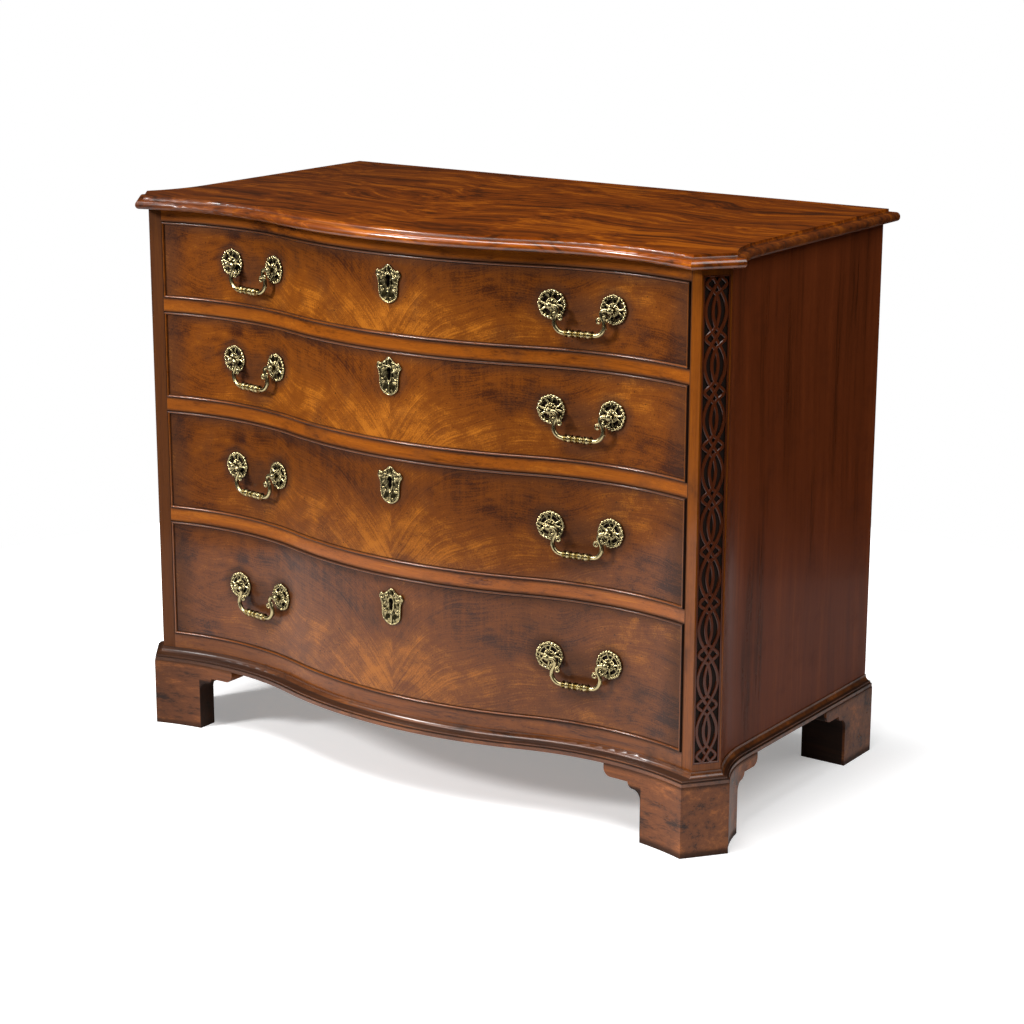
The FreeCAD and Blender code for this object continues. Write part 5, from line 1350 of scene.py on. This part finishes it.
# Stage
def softbox(name, place, target, size, power):
    """An oblong area light, wide and high, that looks at a target."""
    light = bpy.data.lights.new(name, "AREA")
    light.energy = power
    light.shape = "RECTANGLE"
    light.size, light.size_y = size
    lamp = bpy.data.objects.new(name, light)
    bpy.context.scene.collection.objects.link(lamp)
    z_axis = unit(np.array(place, dtype=float) - np.array(target, dtype=float))
    x_axis = unit(np.cross((0.0, 0.0, 1.0), z_axis))
    matrix = np.eye(4)
    matrix[:3, :3] = np.column_stack((x_axis, np.cross(z_axis, x_axis), z_axis))
    matrix[:3, 3] = place
    lamp.matrix_world = mathutils.Matrix(matrix.tolist())
    lamp.visible_camera = False


def away_from(tree, coordinates, box):
    """The distance over the floor from the edge of a box's footprint, below 0 inside it."""
    x, y, _ = split(tree, coordinates)
    halves = (x, float(box[1][0])), (y, float(box[1][1]))
    past = [maths(tree, "SUBTRACT", maths(tree, "ABSOLUTE", part), half) for part, half in halves]
    return maths(tree, "SMOOTH_MAX", *past, 0.12)


def pale_floor(stage):
    """A round white floor, which glows brighter to the camera the farther it lies from the chest: painted
    light, whose weaker glow near and under the chest paints a soft shadow.
    """
    turn = whole_turn(72)
    rim = stage.floor * np.stack((np.cos(turn), np.sin(turn), 0 * turn), axis=-1)
    mesh = bpy.data.meshes.new("studio_floor")
    mesh.from_pydata(rim, [], [range(len(rim))])
    floor = bpy.data.objects.new("studio_floor", mesh)
    bpy.context.scene.collection.objects.link(floor)
    material, tree, shader, coordinates = new_material("pale_floor")
    cloud = noise(tree, coordinates, 1.5, detail=2.0)
    seen = add(tree, "ShaderNodeLightPath").outputs["Is Camera Ray"]
    lift = window(tree, away_from(tree, coordinates, cad_box), -0.10, 0.28, stage.shade, stage.lift)
    feed(tree, shader, {
        "Base Color": mixed(tree, cloud, rgba((0.90, 0.90, 0.90)), rgba((0.93, 0.93, 0.93))),
        "Emission Color": WHITE, "Emission Strength": product(tree, seen, lift), "Roughness": 0.9,
        "Specular IOR Level": 0.1})
    mesh.materials.append(material)
    return floor


def white_room(stage):
    """A world that is white to the camera and gives hardly any light."""
    world = bpy.data.worlds.new("white_room")
    world.use_nodes = True
    tree = world.node_tree
    seen = add(tree, "ShaderNodeLightPath").outputs["Is Camera Ray"]
    strength = window(tree, seen, 0.0, 1.0, stage.room, 1.0)
    feed(tree, tree.nodes["Background"], {"Color": WHITE, "Strength": strength})
    return world


def photo_view(stage):
    """The camera, where the photograph was taken from."""
    camera = bpy.data.cameras.new("photo_view")
    camera.lens = stage.lens
    camera.sensor_width = 36.0
    camera.clip_end = 100.0
    viewer = bpy.data.objects.new("photo_view", camera)
    viewer.location = stage.camera_place
    viewer.rotation_euler = stage.camera_turn
    bpy.context.scene.collection.objects.link(viewer)
    return viewer


class CHEST_OT_set_stage(bpy.types.Operator):
    """Set the pale floor, the soft lights and the camera"""

    bl_idname = "chest.set_stage"
    bl_label = "Set the stage"

    def execute(self, context):
        stage, scene = settings().stage, context.scene
        pale_floor(stage)
        scene.world = white_room(stage)
        softbox("overhead_softbox", place=(-0.2, -1.2, 2.9), target=(0.1, -0.1, 0.6), size=(2.6, 0.9),
                power=stage.key)
        softbox("front_softbox", place=(-1.95, -3.05, 2.3), target=(0.0, 0.0, 0.42), size=(0.7, 0.7),
                power=stage.front)
        softbox("right_softbox", place=(2.0, -0.2, 2.4), target=(0.5, 0.0, 0.5), size=(1.6, 1.6),
                power=stage.fill)
        scene.view_settings.view_transform = "Standard"
        scene.camera = photo_view(stage)
        return {"FINISHED"}


STEPS = (CHEST_OT_finish_case, CHEST_OT_finish_drawers, CHEST_OT_lay_beads, CHEST_OT_carve_fret,
         CHEST_OT_fit_rosettes, CHEST_OT_hang_bails, CHEST_OT_fit_escutcheons, CHEST_OT_set_stage)


class CHEST_PT_steps(bpy.types.Panel):
    """The steps that dress the chest"""

    bl_idname = "CHEST_PT_steps"
    bl_label = "Serpentine chest"
    bl_space_type = "VIEW_3D"
    bl_region_type = "UI"
    bl_category = "Chest"

    def draw(self, context):
        for step in STEPS:
            self.layout.operator(step.bl_idname)


CLASSES = (ChestForm, FretForm, BrassForm, WoodFinish, BrassFinish, StageForm, ChestSettings,
           *STEPS, CHEST_PT_steps)


def register():
    """Make the settings, the steps and the panel known."""
    for item in CLASSES:
        bpy.utils.register_class(item)
    bpy.types.Scene.chest = PointerProperty(type=ChestSettings)


def unregister():
    """Take them away again."""
    del bpy.types.Scene.chest
    for item in reversed(CLASSES):
        bpy.utils.unregister_class(item)


def main():
    """Dress the chest step by step."""
    register()
    bpy.ops.chest.finish_case()
    bpy.ops.chest.finish_drawers()
    bpy.ops.chest.lay_beads()
    bpy.ops.chest.carve_fret()
    bpy.ops.chest.fit_rosettes()
    bpy.ops.chest.hang_bails()
    bpy.ops.chest.fit_escutcheons()
    bpy.ops.chest.set_stage()


if __name__ == "__main__":
    main()
